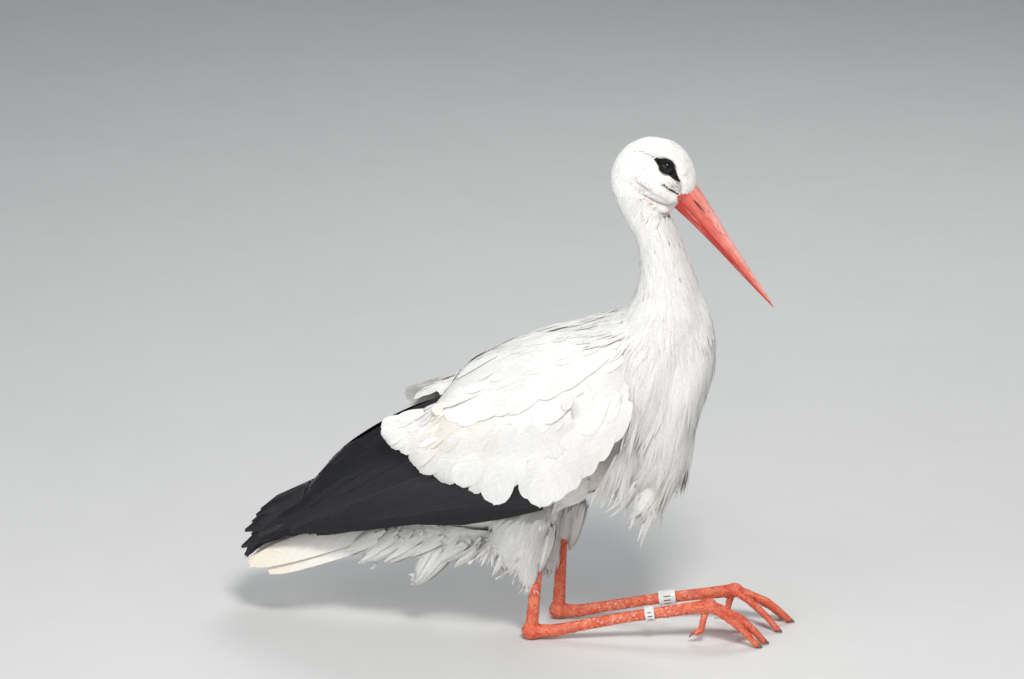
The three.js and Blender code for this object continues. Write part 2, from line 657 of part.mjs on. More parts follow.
for (const [name, leg] of Object.entries(LEGS)) {
  const { side } = leg;
  add(`eye_${name}`, eyeBall(side, 0), wet);
  add(`wing_${name}_scapulars`, scapularsForm(side, 0), white);
  add(`wing_${name}_coverts`, largest(covertsForm(side, 0).subtract(overScapulars[name])), white);
  const flight = flightParts(cut(flightForm(side, 0), [overScapulars[name], overCoverts[name]]));
  for (const [part, solid] of Object.entries(flight)) {
    add(`wing_${name}_${part}`, solid, black);
  }

  add(`thigh_${name}`, largest(cut(thighForm(leg, 0), [overBody, overVent, ...overWings])), white);
  const { blockers, ...shin } = shinParts(name, leg);
  for (const [part, solid] of Object.entries(shin)) {
    add(part, solid, skin);
  }
  add(`leg_band_${name}`, legBand(leg), plastic);
  for (const [part, solid] of Object.entries(toeParts(name, leg, blockers))) {
    add(part, solid, part.startsWith("claw") ? nail : skin);
  }
}

// The origin is the middle of the bird's footprint on the floor.
const extent = new THREE.Box3().setFromObject(bird);
bird.position.set(-(extent.min.x + extent.max.x) / 2, -(extent.min.y + extent.max.y) / 2, 0);

export default bird;
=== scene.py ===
import math

import bpy
import numpy as np
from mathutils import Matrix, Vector
from mathutils.bvhtree import BVHTree
from mathutils.kdtree import KDTree


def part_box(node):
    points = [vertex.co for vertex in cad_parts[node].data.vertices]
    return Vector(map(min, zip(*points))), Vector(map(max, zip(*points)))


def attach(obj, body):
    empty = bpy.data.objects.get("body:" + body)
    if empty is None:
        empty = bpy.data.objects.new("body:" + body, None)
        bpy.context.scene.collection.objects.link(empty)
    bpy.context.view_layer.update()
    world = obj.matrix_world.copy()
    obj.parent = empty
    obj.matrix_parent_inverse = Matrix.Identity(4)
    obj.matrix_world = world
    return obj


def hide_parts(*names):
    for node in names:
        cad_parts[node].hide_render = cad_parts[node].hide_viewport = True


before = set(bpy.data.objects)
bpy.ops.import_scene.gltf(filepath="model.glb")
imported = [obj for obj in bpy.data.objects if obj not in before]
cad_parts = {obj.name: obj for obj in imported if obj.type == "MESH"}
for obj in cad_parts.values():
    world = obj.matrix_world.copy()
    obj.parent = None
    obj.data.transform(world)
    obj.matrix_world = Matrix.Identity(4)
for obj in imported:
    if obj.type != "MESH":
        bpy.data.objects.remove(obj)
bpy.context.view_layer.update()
bpy.ops.object.select_all(action="DESELECT")

MM = 0.001
SIDES = {"left": 1, "right": -1}
PICTURE_WIDTH = 1024

# ---------------------------------------------------------------- camera, floor and lights
CAMERA_TARGET = Vector((-0.0211, 0.0952, 0.3271))
CAMERA_DISTANCE = 4.0
CAMERA_AZIMUTH = math.radians(12)
CAMERA_ELEVATION = math.radians(18)
CAMERA_LENS = 118.17  # mm, on a 36 mm sensor


def around(target, azimuth, elevation, distance):
    """The place at that distance from the target; azimuth 0 looks along +Y."""
    level = math.cos(elevation)
    back = Vector((math.sin(azimuth) * level, -math.cos(azimuth) * level, math.sin(elevation)))
    return target + back * distance


def aim(thing, target):
    thing.rotation_euler = (target - thing.location).to_track_quat("-Z", "Y").to_euler()


def make_camera():
    bpy.ops.object.camera_add()
    camera = bpy.context.object
    camera.name = "camera"
    camera.location = around(CAMERA_TARGET, CAMERA_AZIMUTH, CAMERA_ELEVATION, CAMERA_DISTANCE)
    aim(camera, CAMERA_TARGET)
    camera.data.lens = CAMERA_LENS
    camera.data.sensor_width = 36
    bpy.context.scene.camera = camera


def soft_light(name, azimuth, elevation, distance, size, watts, colour=(1, 1, 1)):
    bpy.ops.object.light_add(type="AREA")
    lamp = bpy.context.object
    lamp.name = name
    target = Vector((0, 0, 0.25))
    lamp.location = around(target, math.radians(azimuth), math.radians(elevation), distance)
    aim(lamp, target)
    lamp.data.size = size
    lamp.data.energy = watts
    lamp.data.color = colour


def make_studio():
    scene = bpy.context.scene
    scene.view_settings.view_transform = "Standard"
    soft_light("key light", 24, 52, 3.0, 0.7, 68, (1, 0.985, 0.96))
    soft_light("fill light", -46, 20, 3.4, 2.4, 34, (0.95, 0.97, 1))
    soft_light("low light", -8, 6, 3.2, 1.8, 24, (1, 0.99, 0.97))
    soft_light("rim light", 170, 50, 3.2, 1.4, 30)
    world = bpy.data.worlds.new("studio")
    scene.world = world
    world.use_nodes = True
    sky = world.node_tree.nodes["Background"]
    sky.inputs["Color"].default_value = (0.80, 0.84, 0.90, 1)
    sky.inputs["Strength"].default_value = 0.34


# ---------------------------------------------------------------- node helpers
def new_node(tree, kind, **settings):
    node = tree.nodes.new(kind)
    for key, value in settings.items():
        setattr(node, key, value)
    return node


def feed(tree, node, values):
    """Sets or links the node's inputs by name or number."""
    for key, value in values.items():
        socket = node.inputs[key]
        if isinstance(value, bpy.types.NodeSocket):
            tree.links.new(value, socket)
        else:
            socket.default_value = value
    return node


def maths(tree, operation, *values, clamp=False):
    node = new_node(tree, "ShaderNodeMath", operation=operation, use_clamp=clamp)
    return feed(tree, node, dict(enumerate(values))).outputs[0]


def mix_colours(tree, factor, first, second, blend="MIX"):
    node = new_node(tree, "ShaderNodeMix", data_type="RGBA", blend_type=blend)
    feed(tree, node, {0: factor, 6: first, 7: second})
    return node.outputs[2]


def ramp(tree, value, low, high, low_out=0.0, high_out=1.0):
    node = new_node(tree, "ShaderNodeMapRange", interpolation_type="SMOOTHSTEP")
    return feed(tree, node, {0: value, 1: low, 2: high, 3: low_out, 4: high_out}).outputs[0]


def noise(tree, vector, scale, detail=3.0, roughness=0.5):
    node = new_node(tree, "ShaderNodeTexNoise")
    return feed(tree, node, {"Vector": vector, "Scale": scale, "Detail": detail, "Roughness": roughness}).outputs[0]


def attribute(tree, name):
    return new_node(tree, "ShaderNodeAttribute", attribute_name=name).outputs["Color"]


def object_place(tree):
    return new_node(tree, "ShaderNodeTexCoord").outputs["Object"]


def new_group(name, inputs, outputs):
    """An empty shader group with number inputs and the outputs given as name: kind."""
    group = bpy.data.node_groups.new(name, "ShaderNodeTree")
    for title, default in inputs.items():
        kind = "NodeSocketColor" if isinstance(default, tuple) else "NodeSocketFloat"
        group.interface.new_socket(title, in_out="INPUT", socket_type=kind).default_value = default
    for title, kind in outputs.items():
        group.interface.new_socket(title, in_out="OUTPUT", socket_type=kind)
    entry = new_node(group, "NodeGroupInput")
    exit_node = new_node(group, "NodeGroupOutput")
    return group, entry.outputs, exit_node


def new_material(name, roughness=0.6, **settings):
    material = bpy.data.materials.new(name)
    material.use_nodes = True
    tree = material.node_tree
    shader = tree.nodes["Principled BSDF"]
    shader.inputs["Roughness"].default_value = roughness
    for key, value in settings.items():
        shader.inputs[key.replace("_", " ")].default_value = value
    return material, tree, shader


def add_bump(tree, shader, height, strength, distance):
    node = new_node(tree, "ShaderNodeBump")
    feed(tree, node, {"Height": height, "Strength": strength, "Distance": distance})
    tree.links.new(node.outputs[0], shader.inputs["Normal"])


def use_group(tree, group, **values):
    node = new_node(tree, "ShaderNodeGroup", node_tree=group)
    feed(tree, node, {key.replace("_", " "): value for key, value in values.items()})
    return node.outputs


# ---------------------------------------------------------------- shared effects
def barb_group():
    """Barbs of a feather, from its own map: across and along in centimetres, with the shaft at 0."""
    group, inputs, result = new_group(
        "barbs",
        {"Pitch": 0.06, "Sweep": 1.7, "Clump": 0.2},
        {"Height": "NodeSocketFloat", "Streak": "NodeSocketFloat", "Shaft": "NodeSocketFloat"},
    )
    own_map = new_node(group, "ShaderNodeUVMap", uv_map="vane")
    parts = feed(group, new_node(group, "ShaderNodeSeparateXYZ"), {0: own_map.outputs[0]}).outputs
    out = maths(group, "ABSOLUTE", parts[0])
    barb = maths(group, "SUBTRACT", parts[1], maths(group, "MULTIPLY", out, inputs["Sweep"]))
    side = feed(group, new_node(group, "ShaderNodeCombineXYZ"), {0: barb, 1: maths(group, "MULTIPLY", parts[0], 0.25)})
    clumps = noise(group, side.outputs[0], maths(group, "DIVIDE", 1.0, inputs["Clump"]), 2.0)
    wave = maths(group, "SINE", maths(group, "DIVIDE", maths(group, "MULTIPLY", barb, 2 * math.pi), inputs["Pitch"]))
    height = maths(group, "ADD", maths(group, "MULTIPLY", wave, 0.18), clumps)
    shaft = ramp(group, out, 0.02, 0.055, 1.0, 0.0)
    feed(group, result, {"Height": height, "Streak": clumps, "Shaft": shaft})
    return group


def mottle_group():
    """Slow and fine unevenness of a colour over the surface."""
    group, inputs, result = new_group(
        "mottle",
        {"Color": (1.0, 1.0, 1.0, 1.0), "Other": (0.5, 0.5, 0.5, 1.0), "Scale": 40.0, "Amount": 0.3},
        {"Color": "NodeSocketColor", "Mask": "NodeSocketFloat"},
    )
    place = object_place(group)
    broad = noise(group, place, inputs["Scale"], 4.0)
    fine = noise(group, place, maths(group, "MULTIPLY", inputs["Scale"], 5.3), 3.0)
    mask = ramp(group, maths(group, "ADD", maths(group, "MULTIPLY", fine, 0.4), maths(group, "MULTIPLY", broad, 0.6)), 0.38, 0.64)
    amount = maths(group, "MULTIPLY", mask, inputs["Amount"])
    feed(group, result, {"Color": mix_colours(group, amount, inputs["Color"], inputs["Other"]), "Mask": mask})
    return group


BARBS = barb_group()
MOTTLE = mottle_group()


# ---------------------------------------------------------------- materials
def white_feather_material(name="white feathers", pitch=0.06, streak=0.12, bump=0.22):
    material, tree, shader = new_material(name, 0.78)
    shader.inputs["Sheen Weight"].default_value = 0.15
    barbs = use_group(tree, BARBS, Pitch=pitch)
    tint = attribute(tree, "tint")
    shade = ramp(tree, barbs["Streak"], 0.35, 0.65, 1.0 - streak, 1.0)
    lit = mix_colours(tree, 1.0, tint, shade, "MULTIPLY")
    tree.links.new(lit, shader.inputs["Base Color"])
    add_bump(tree, shader, barbs["Height"], bump, 0.0006)
    return material


def black_feather_material():
    material, tree, shader = new_material("black feathers", 0.36, Specular_IOR_Level=0.3)
    barbs = use_group(tree, BARBS, Pitch=0.09, Sweep=1.9, Clump=0.3)
    tint = attribute(tree, "tint")
    # Clumps of barbs are mixed towards a lighter bluish grey.
    bluish_clumps = ramp(tree, barbs["Streak"], 0.5, 0.75, 0.0, 0.35)
    colour = mix_colours(tree, bluish_clumps, tint, (0.018, 0.018, 0.024, 1))
    shafted = mix_colours(tree, maths(tree, "MULTIPLY", barbs["Shaft"], 0.6), colour, (0.035, 0.032, 0.034, 1))
    tree.links.new(shafted, shader.inputs["Base Color"])
    tree.links.new(ramp(tree, barbs["Streak"], 0.3, 0.7, 0.26, 0.5), shader.inputs["Roughness"])
    add_bump(tree, shader, barbs["Height"], 0.3, 0.0006)
    return material


def skin_material():
    material, tree, shader = new_material("skin", 0.62, Specular_IOR_Level=0.2)
    tint = attribute(tree, "tint")
    darker = mix_colours(tree, 1.0, tint, (0.72, 0.62, 0.58, 1), "MULTIPLY")
    mottled = use_group(tree, MOTTLE, Color=tint, Other=darker, Scale=150.0, Amount=0.6)
    tree.links.new(mottled["Color"], shader.inputs["Base Color"])
    add_bump(tree, shader, noise(tree, object_place(tree), 1400.0, 2.0), 0.35, 0.0003)
    return material


def bill_material():
    material, tree, shader = new_material("bill", 0.42)
    place = object_place(tree)
    along = new_node(tree, "ShaderNodeMapping", vector_type="TEXTURE")
    along.inputs["Rotation"].default_value = (0, BILL_DIP, 0)
    along.inputs["Scale"].default_value = (9, 1, 1)
    feed(tree, along, {"Vector": place})
    streaks = noise(tree, along.outputs[0], 900.0, 4.0, 0.6)
    broad = noise(tree, along.outputs[0], 260.0, 3.0)
    base = attribute(tree, "tint")
    paler = mix_colours(tree, ramp(tree, broad, 0.48, 0.72, 0.0, 0.45), base, (0.84, 0.36, 0.3, 1))
    darker = mix_colours(tree, ramp(tree, streaks, 0.5, 0.66, 0.0, 0.6), paler, (0.33, 0.02, 0.015, 1))
    tree.links.new(darker, shader.inputs["Base Color"])
    tree.links.new(ramp(tree, streaks, 0.3, 0.7, 0.34, 0.55), shader.inputs["Roughness"])
    add_bump(tree, shader, streaks, 0.25, 0.0004)
    return material


def leg_scale_material():
    material, tree, shader = new_material("leg scales", 0.5)
    mottled = use_group(tree, MOTTLE, Color=attribute(tree, "tint"), Other=(0.86, 0.44, 0.32, 1), Scale=95.0, Amount=0.28)
    tree.links.new(mottled["Color"], shader.inputs["Base Color"])
    tree.links.new(ramp(tree, mottled["Mask"], 0.0, 1.0, 0.42, 0.7), shader.inputs["Roughness"])
    add_bump(tree, shader, noise(tree, object_place(tree), 1500.0, 2.0), 0.3, 0.0003)
    return material


def claw_material():
    material, tree, shader = new_material("claws", 0.4)
    mottled = use_group(tree, MOTTLE, Color=(0.16, 0.07, 0.05, 1), Other=(0.33, 0.16, 0.11, 1), Scale=300.0, Amount=0.8)
    tree.links.new(mottled["Color"], shader.inputs["Base Color"])
    add_bump(tree, shader, mottled["Mask"], 0.2, 0.0002)
    return material


def band_material():
    material, tree, shader = new_material("leg bands", 0.38)
    mottled = use_group(tree, MOTTLE, Color=attribute(tree, "tint"), Other=(0.42, 0.4, 0.36, 1), Scale=260.0, Amount=0.3)
    tree.links.new(mottled["Color"], shader.inputs["Base Color"])
    tree.links.new(ramp(tree, mottled["Mask"], 0.0, 1.0, 0.3, 0.55), shader.inputs["Roughness"])
    add_bump(tree, shader, mottled["Mask"], 0.15, 0.0002)
    return material


def eye_material():
    material, tree, shader = new_material("eyes", 0.04, Specular_IOR_Level=0.3, Coat_Weight=0.0)
    base = attribute(tree, "tint")
    flecks = noise(tree, object_place(tree), 2600.0, 3.0)
    coloured = mix_colours(tree, ramp(tree, flecks, 0.45, 0.7, 0.0, 0.5), base, (0.004, 0.003, 0.004, 1))
    tree.links.new(coloured, shader.inputs["Base Color"])
    return material


def floor_material():
    material, tree, shader = new_material("floor", 0.85)
    mottled = use_group(tree, MOTTLE, Color=(0.66, 0.66, 0.65, 1), Other=(0.63, 0.63, 0.62, 1), Scale=3.0, Amount=0.5)
    tree.links.new(mottled["Color"], shader.inputs["Base Color"])
    return material


# ---------------------------------------------------------------- places read from the solids
def middle(node):
    low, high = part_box(node)
    return (low + high) / 2


EYES = {name: middle(f"eye_{name}") for name in SIDES}
BIRD_X = EYES["left"].x - 0.1385  # x of the middle between the hocks
EYE_RADIUS = (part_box("eye_left")[1].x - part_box("eye_left")[0].x) / 2


def spot(x, z, y=0.0):
    """A place given in millimetres from between the hocks: forward, up and to the left."""
    return np.array([BIRD_X + x * MM, y * MM, z * MM])


BILL_DIP = math.radians(50.7)
BILL_BASE = spot(160, 541)
BILL_AXIS = np.array([math.cos(BILL_DIP), 0, -math.sin(BILL_DIP)])
BILL_UP = np.array([math.sin(BILL_DIP), 0, math.cos(BILL_DIP)])

# ---------------------------------------------------------------- lie of the feathers
# Where, in millimetres from between the hocks, and which way the feathers point, in degrees in the side view:
# 90 is up, 180 towards the tail and 270 down.
BODY_LIE = [
    (168, 570, 128),
    (160, 594, 124),
    (143, 607, 152),
    (112, 612, 182),
    (89, 601, 220),
    (75, 582, 248),
    (70, 556, 268),
    (74, 535, 288),
    (92, 505, 294),
    (104, 465, 280),
    (103, 430, 262),
    (85, 405, 215),
    (40, 390, 202),
    (-57, 351, 204),
    (-160, 230, 222),
    (152, 562, 150),
    (140, 572, 178),
    (125, 590, 205),
    (115, 575, 222),
    (138, 552, 205),
    (120, 552, 232),
    (100, 560, 250),
    (145, 532, 200),
    (130, 528, 232),
    (146, 508, 284),
    (130, 500, 286),
    (166, 462, 290),
    (135, 455, 284),
    (190, 400, 282),
    (145, 400, 268),
    (110, 385, 246),
    (194, 344, 262),
    (150, 320, 256),
    (90, 330, 232),
    (175, 264, 256),
    (130, 250, 240),
    (100, 212, 216),
    (60, 250, 228),
    (38, 170, 205),
    (0, 240, 215),
    (-40, 135, 192),
    (-120, 120, 186),
    (14, 165, 250),
    (8, 125, 262),
    (0, 95, 266),
    (-35, 150, 240),
    (-45, 110, 246),
]
WING_LIE = [
    (100, 380, 222),
    (60, 380, 208),
    (0, 360, 205),
    (-60, 335, 207),
    (-110, 300, 214),
    (100, 320, 240),
    (60, 320, 232),
    (0, 310, 222),
    (-60, 290, 216),
    (90, 270, 246),
    (50, 240, 246),
    (0, 230, 240),
    (-50, 225, 236),
    (-100, 225, 226),
    (-150, 235, 216),
    (-190, 245, 212),
    (-130, 280, 208),
]


def lie_at(places, guides, reach=0.02):
    """The way the feathers point at each place, in the side view, from the nearest guides."""
    guide = np.array(guides, float)
    at = np.stack([BIRD_X + guide[:, 0] * MM, guide[:, 1] * MM], 1)
    angle = np.radians(guide[:, 2])
    gap = ((places[:, None, [0, 2]] - at[None]) ** 2).sum(2)
    weight = 1 / (gap + reach**2 * 0.04) ** 2
    x = (weight * np.cos(angle)).sum(1)
    z = (weight * np.sin(angle)).sum(1)
    way = np.stack([x, np.zeros(len(x)), z], 1)
    return way / np.linalg.norm(way, axis=1, keepdims=True)


# ---------------------------------------------------------------- markings and painted shade, the same on skin and coat
WHITE = np.array([0.80, 0.79, 0.765])
CREAM = np.array([0.77, 0.70, 0.58])
DUSK = np.array([0.70, 0.70, 0.70])
BLACK_SKIN = np.array([0.004, 0.004, 0.006])
BLACK_VANE = np.array([0.006, 0.006, 0.008])
DARK_LORES = np.array([0.10, 0.085, 0.085])
FACE_SHADE_PAINT = np.array([0.40, 0.37, 0.41])
PINK = np.array([0.78, 0.42, 0.38])
LEG_RED = np.array([0.62, 0.085, 0.035])
# Bare black skin round the eye: x, z and radius of a chain of circles.
EYE_PATCH = [(121.7, 592.4, 0.5), (128.2, 588.2, 3.0), (137.7, 582, 8.5), (144.5, 575.5, 5.2), (149.5, 568.5, 2.9), (153.2, 564.5, 1.0)]
GAPE = [(135.5, 562), (141.5, 556.5), (151.5, 549.5)]
# Where the bare bill starts, in the side view, from the forehead down to the chin.
BILL_EDGE = [
    (174, 554), (168, 553.5), (164, 549.5), (158, 550.5), (152.5, 551.5), (150, 548), (150.5, 538), (147, 529), (149, 518),
]
BILL_FRONT = [(200, 470), (280, 400), (280, 520), (200, 560)]
# Cream tinges on the plumage: x, y, z, radius.
CREAM_PLACES = [(-100, 95, 300, 34), (-62, 100, 308, 26), (-88, 90, 282, 22), (-40, 100, 292, 20), (-190, 70, 245, 22), (-140, 90, 235, 16), (150, 20, 230, 26)]


# Pink skin showing through behind the bill: x, y, z, radius and strength.
PINK_PLACES = [(114, 20, 545, 7, 0.35), (121, 19, 540, 7, 0.45), (128, 16, 535, 6, 0.35), (140, 10, 527, 8, 0.2)]
# Painted shade in the folds and hollows of the face, and a painted shadow under the chin: strength, reach in
# millimetres and a chain of circles (x, z, radius).
HEAD_SHADES = [
    (0.30, 3.5, [(108, 597.5, 0.2), (114, 596, 0.4), (121, 592.8, 0.5)]),
    (0.28, 9.0, [(105, 586, 1), (112, 579, 1)]),
    (0.42, 7.0, [(104, 564, 1), (113, 560, 1), (123, 556, 0.5)]),
    (0.42, 6.0, [(112, 556, 1), (122, 550, 1), (131, 544, 0.5)]),
    (0.65, 3.0, [(123, 544.5, 0.3), (132, 539, 0.5), (141, 535, 0.6), (148, 536.5, 0.4)]),
    (0.85, 2.6, [(131, 526, 0.5), (141, 523.5, 0.8), (148, 525, 0.5)]),
]


def chain_gap(places, chain):
    """Distance in the side view to a chain of circles, less their radius; in metres."""
    flat = places[:, [0, 2]]
    best = np.full(len(places), np.inf)
    for (x1, z1, r1), (x2, z2, r2) in zip(chain, chain[1:]):
        a = spot(x1, z1)[[0, 2]]
        b = spot(x2, z2)[[0, 2]]
        along = b - a
        t = np.clip(((flat - a) @ along) / (along @ along), 0, 1)
        gap = np.linalg.norm(flat - a - t[:, None] * along, axis=1) - (r1 + (r2 - r1) * t) * MM
        best = np.minimum(best, gap)
    return best


def eye_patch_gap(places):
    gap = chain_gap(places, EYE_PATCH)
    return np.where(np.abs(places[:, 1]) > 0.008, gap, 1.0)


def gape_gap(places):
    gap = chain_gap(places, [(x, z, 0) for x, z in GAPE])
    return np.where(np.abs(places[:, 1]) > 0.006, gap, 1.0)


def smooth_step(value, low, high):
    t = np.clip((value - low) / (high - low), 0, 1)
    return t * t * (3 - 2 * t)


def tinted(base, other, amount):
    return base + (other - base) * amount[:, None]


def ball_mask(places, x, y, z, radius):
    """1 at the place and 0 past the radius, on both sides of the bird."""
    centre = spot(x, z, y)
    across = np.abs(places[:, 1]) - centre[1]
    gap = np.sqrt((places[:, 0] - centre[0]) ** 2 + across**2 + (places[:, 2] - centre[2]) ** 2)
    return 1 - smooth_step(gap, 0, radius * MM)


# The colours without the pink skin and without the painted shade of the face.
def plain_markings(places):
    return markings(places, shaded=False)


def markings(places, shaded=True):
    """Colour of skin and plumage at each place; when shaded, with the pink skin behind the bill and the painted shade
    of the face's folds and hollows.
    """
    colour = np.repeat(WHITE[None], len(places), 0)
    for x, y, z, radius in CREAM_PLACES:
        colour = tinted(colour, CREAM, ball_mask(places, x, y, z, radius) * 0.75)
    flecks = np.sin(places[:, 0] * 5200) * np.sin(places[:, 2] * 4700 + 1)
    for x, y, z, radius, strength in PINK_PLACES if shaded else ():
        colour = tinted(colour, PINK, ball_mask(places, x, y, z, radius) * (strength + 0.3 * (flecks > 0)))
    # Painted shade: the face's folds and hollows and the line under the chin are darkened towards a grey-violet.
    for strength, reach, chain in HEAD_SHADES if shaded else ():
        gap = chain_gap(places, chain) / MM
        amount = (1 - smooth_step(gap, 0, reach)) * strength * (0.65 + 0.35 * flecks)
        colour = tinted(colour, FACE_SHADE_PAINT, amount * (np.abs(places[:, 1]) > 0.006))
    colour = tinted(colour, DARK_LORES, ball_mask(places, 148, 20, 558, 11) ** 0.6 * (flecks > 0.1) * 0.9)
    lores = chain_gap(places, [(152.5, 565, 1.8), (154, 552, 0.5)]) / MM
    colour = tinted(colour, DARK_LORES, (1 - smooth_step(lores, 0, 2.4)) * (flecks > -0.2) * 0.85)
    colour = tinted(colour, BLACK_SKIN, 1 - smooth_step(eye_patch_gap(places), -0.0006, 0.0004))
    colour = tinted(colour, BLACK_SKIN, 1 - smooth_step(gape_gap(places), 0.0005, 0.0018))
    return colour


# ---------------------------------------------------------------- mesh helpers
def only(obj):
    bpy.ops.object.select_all(action="DESELECT")
    obj.select_set(True)
    bpy.context.view_layer.objects.active = obj


def finish_piece(obj, material, slot, *replaced):
    obj.data.materials.clear()
    obj.data.materials.append(material)
    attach(obj, "root")
    if replaced:
        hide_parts(*replaced)


def apply_modifier(obj, kind, **settings):
    only(obj)
    modifier = obj.modifiers.new("step", kind)
    for key, value in settings.items():
        setattr(modifier, key, value)
    bpy.ops.object.modifier_apply(modifier=modifier.name)


def vertex_places(obj):
    places = np.zeros(len(obj.data.vertices) * 3)
    obj.data.vertices.foreach_get("co", places)
    return places.reshape(-1, 3)


def move_vertices(obj, places):
    obj.data.vertices.foreach_set("co", places.ravel())
    obj.data.update()


def vertex_normals(obj):
    normals = np.zeros(len(obj.data.vertices) * 3)
    obj.data.vertices.foreach_get("normal", normals)
    return normals.reshape(-1, 3)


def tint_vertices(mesh, colours):
    layer = mesh.color_attributes.new("tint", "FLOAT_COLOR", "POINT")
    filled = np.concatenate([colours, np.ones((len(colours), 1))], 1)
    layer.data.foreach_set("color", filled.astype(np.float32).ravel())


def swollen_copy(name, nodes, voxel, inset, smoothing):
    """One closed form over several solids: fused, smoothed and drawn in by `inset`."""
    swell = 0.6 * MM
    form = joined_copy(name, nodes)
    apply_modifier(form, "DISPLACE", strength=swell, mid_level=0)
    apply_modifier(form, "REMESH", mode="VOXEL", voxel_size=voxel)
    apply_modifier(form, "SMOOTH", factor=0.5, iterations=smoothing)
    apply_modifier(form, "DISPLACE", strength=-swell - inset, mid_level=0)
    apply_modifier(form, "SMOOTH", factor=0.5, iterations=4)
    only(form)
    bpy.ops.object.shade_smooth()
    return form


def even_form(form, rounds):
    """Smooths facets away but keeps the broad form: what the smoothing took off is smoothed and put back."""
    mesh = form.data
    edges = np.zeros(len(mesh.edges) * 2, np.int32)
    mesh.edges.foreach_get("vertices", edges)
    a, b = edges.reshape(-1, 2).T
    places = vertex_places(form)
    size = len(places)
    count = np.bincount(np.concatenate([a, b]), minlength=size)[:, None]

    def smoothed(values):
        for _ in range(rounds):
            columns = [np.bincount(a, values[b, i], size) + np.bincount(b, values[a, i], size) for i in range(3)]
            values = values * 0.35 + np.stack(columns, 1) / count * 0.65
        return values

    broad = smoothed(places)
    move_vertices(form, broad + smoothed(places - broad))


def joined_copy(name, nodes):
    """One mesh of copies of several solids, each with its doubled points merged."""
    bpy.ops.object.select_all(action="DESELECT")
    for node in nodes:
        copy = bpy.data.objects.new(name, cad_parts[node].data.copy())
        bpy.context.scene.collection.objects.link(copy)
        copy.select_set(True)
        bpy.context.view_layer.objects.active = copy
    if len(nodes) > 1:
        bpy.ops.object.join()
    form = bpy.context.object
    form.name = name
    form.data.name = name
    bpy.ops.object.mode_set(mode="EDIT")
    bpy.ops.mesh.select_all(action="SELECT")
    bpy.ops.mesh.remove_doubles(threshold=1e-5)
    bpy.ops.object.mode_set(mode="OBJECT")
    return form


def tree_of(obj):
    depsgraph = bpy.context.evaluated_depsgraph_get()
    return BVHTree.FromObject(obj, depsgraph)


def nearest(tree, places):
    """Nearest places on a surface, its outward normals there, and how far away they are."""
    found = [tree.find_nearest(Vector(place)) for place in places]
    on = np.array([hit[0] for hit in found])
    up = np.array([hit[1] for hit in found])
    return on, up, np.array([hit[3] for hit in found])


def normalised(vectors):
    return vectors / np.maximum(np.linalg.norm(vectors, axis=-1, keepdims=True), 1e-9)


def along_surface(vectors, ups):
    return normalised(vectors - (vectors * ups).sum(-1, keepdims=True) * ups)


# ---------------------------------------------------------------- unwraps and roots
def unwrap(obj):
    """A flat map of the form's own shape, kept as its UV map."""
    only(obj)
    bpy.ops.object.mode_set(mode="EDIT")
    bpy.ops.mesh.select_all(action="SELECT")
    bpy.ops.uv.smart_project(angle_limit=math.radians(66), island_margin=0.004)
    bpy.ops.object.mode_set(mode="OBJECT")


class Ground:
    """A form that feathers grow from, with its search tree, triangles and flat map."""

    def __init__(self, obj):
        self.obj = obj
        self.tree = tree_of(obj)
        mesh = obj.data
        mesh.calc_loop_triangles()
        count = len(mesh.loop_triangles)
        self.corners = np.zeros(count * 3, np.int32)
        mesh.loop_triangles.foreach_get("vertices", self.corners)
        self.corners = self.corners.reshape(-1, 3)
        loops = np.zeros(count * 3, np.int32)
        mesh.loop_triangles.foreach_get("loops", loops)
        flat = np.zeros(len(mesh.loops) * 2)
        mesh.uv_layers.active.data.foreach_get("uv", flat)
        self.flat = flat.reshape(-1, 2)[loops].reshape(-1, 3, 2)
        self.places = vertex_places(obj)

    def scatter(self, spacing, seed, wanted=lambda places: np.ones(len(places), bool), tries=4):
        """Roots about `spacing` apart, a function of place. Returns places, normals and flat places."""
        dice = np.random.default_rng(seed)
        a, b, c = (self.places[self.corners[:, i]] for i in range(3))
        cross = np.cross(b - a, c - a)
        area = np.linalg.norm(cross, axis=1) / 2
        room = area / spacing((a + b + c) / 3) ** 2
        picks = dice.choice(len(area), int(room.sum() * tries), p=room / room.sum())
        share = dice.random((len(picks), 2))
        fold = share.sum(1) > 1
        share[fold] = 1 - share[fold]
        weights = np.stack([1 - share.sum(1), share[:, 0], share[:, 1]], 1)
        places = (np.stack([a[picks], b[picks], c[picks]], 1) * weights[..., None]).sum(1)
        keep = wanted(places)
        picks, weights, places = picks[keep], weights[keep], places[keep]
        chosen = apart(places, spacing(places))
        normals = normalised(cross[picks[chosen]])
        flat = (self.flat[picks[chosen]] * weights[chosen][..., None]).sum(1)
        return places[chosen], normals, flat

    def flat_near(self, places):
        """Flat places of the triangles nearest to some places."""
        if not hasattr(self, "finder"):
            self.finder = KDTree(len(self.corners))
            for number, centre in enumerate(self.places[self.corners].mean(1)):
                self.finder.insert(Vector(centre), number)
            self.finder.balance()
        found = [self.finder.find(Vector(place))[1] for place in places]
        return self.flat[found].mean(1)


def apart(places, spacing):
    """Numbers of the places that are kept so that no two are nearer than their spacing."""
    cell = float(spacing.max())
    cells = {}
    kept = []
    keys = np.floor(places / cell).astype(int)
    around_cell = [(i, j, k) for i in (-1, 0, 1) for j in (-1, 0, 1) for k in (-1, 0, 1)]
    for number, (key, place, room) in enumerate(zip(keys.tolist(), places.tolist(), (spacing**2).tolist())):
        near = False
        for i, j, k in around_cell:
            for x, y, z in cells.get((key[0] + i, key[1] + j, key[2] + k), ()):
                if (x - place[0]) ** 2 + (y - place[1]) ** 2 + (z - place[2]) ** 2 < room:
                    near = True
                    break
            if near:
                break
        if not near:
            cells.setdefault(tuple(key), []).append(place)
            kept.append(number)
    return np.array(kept)


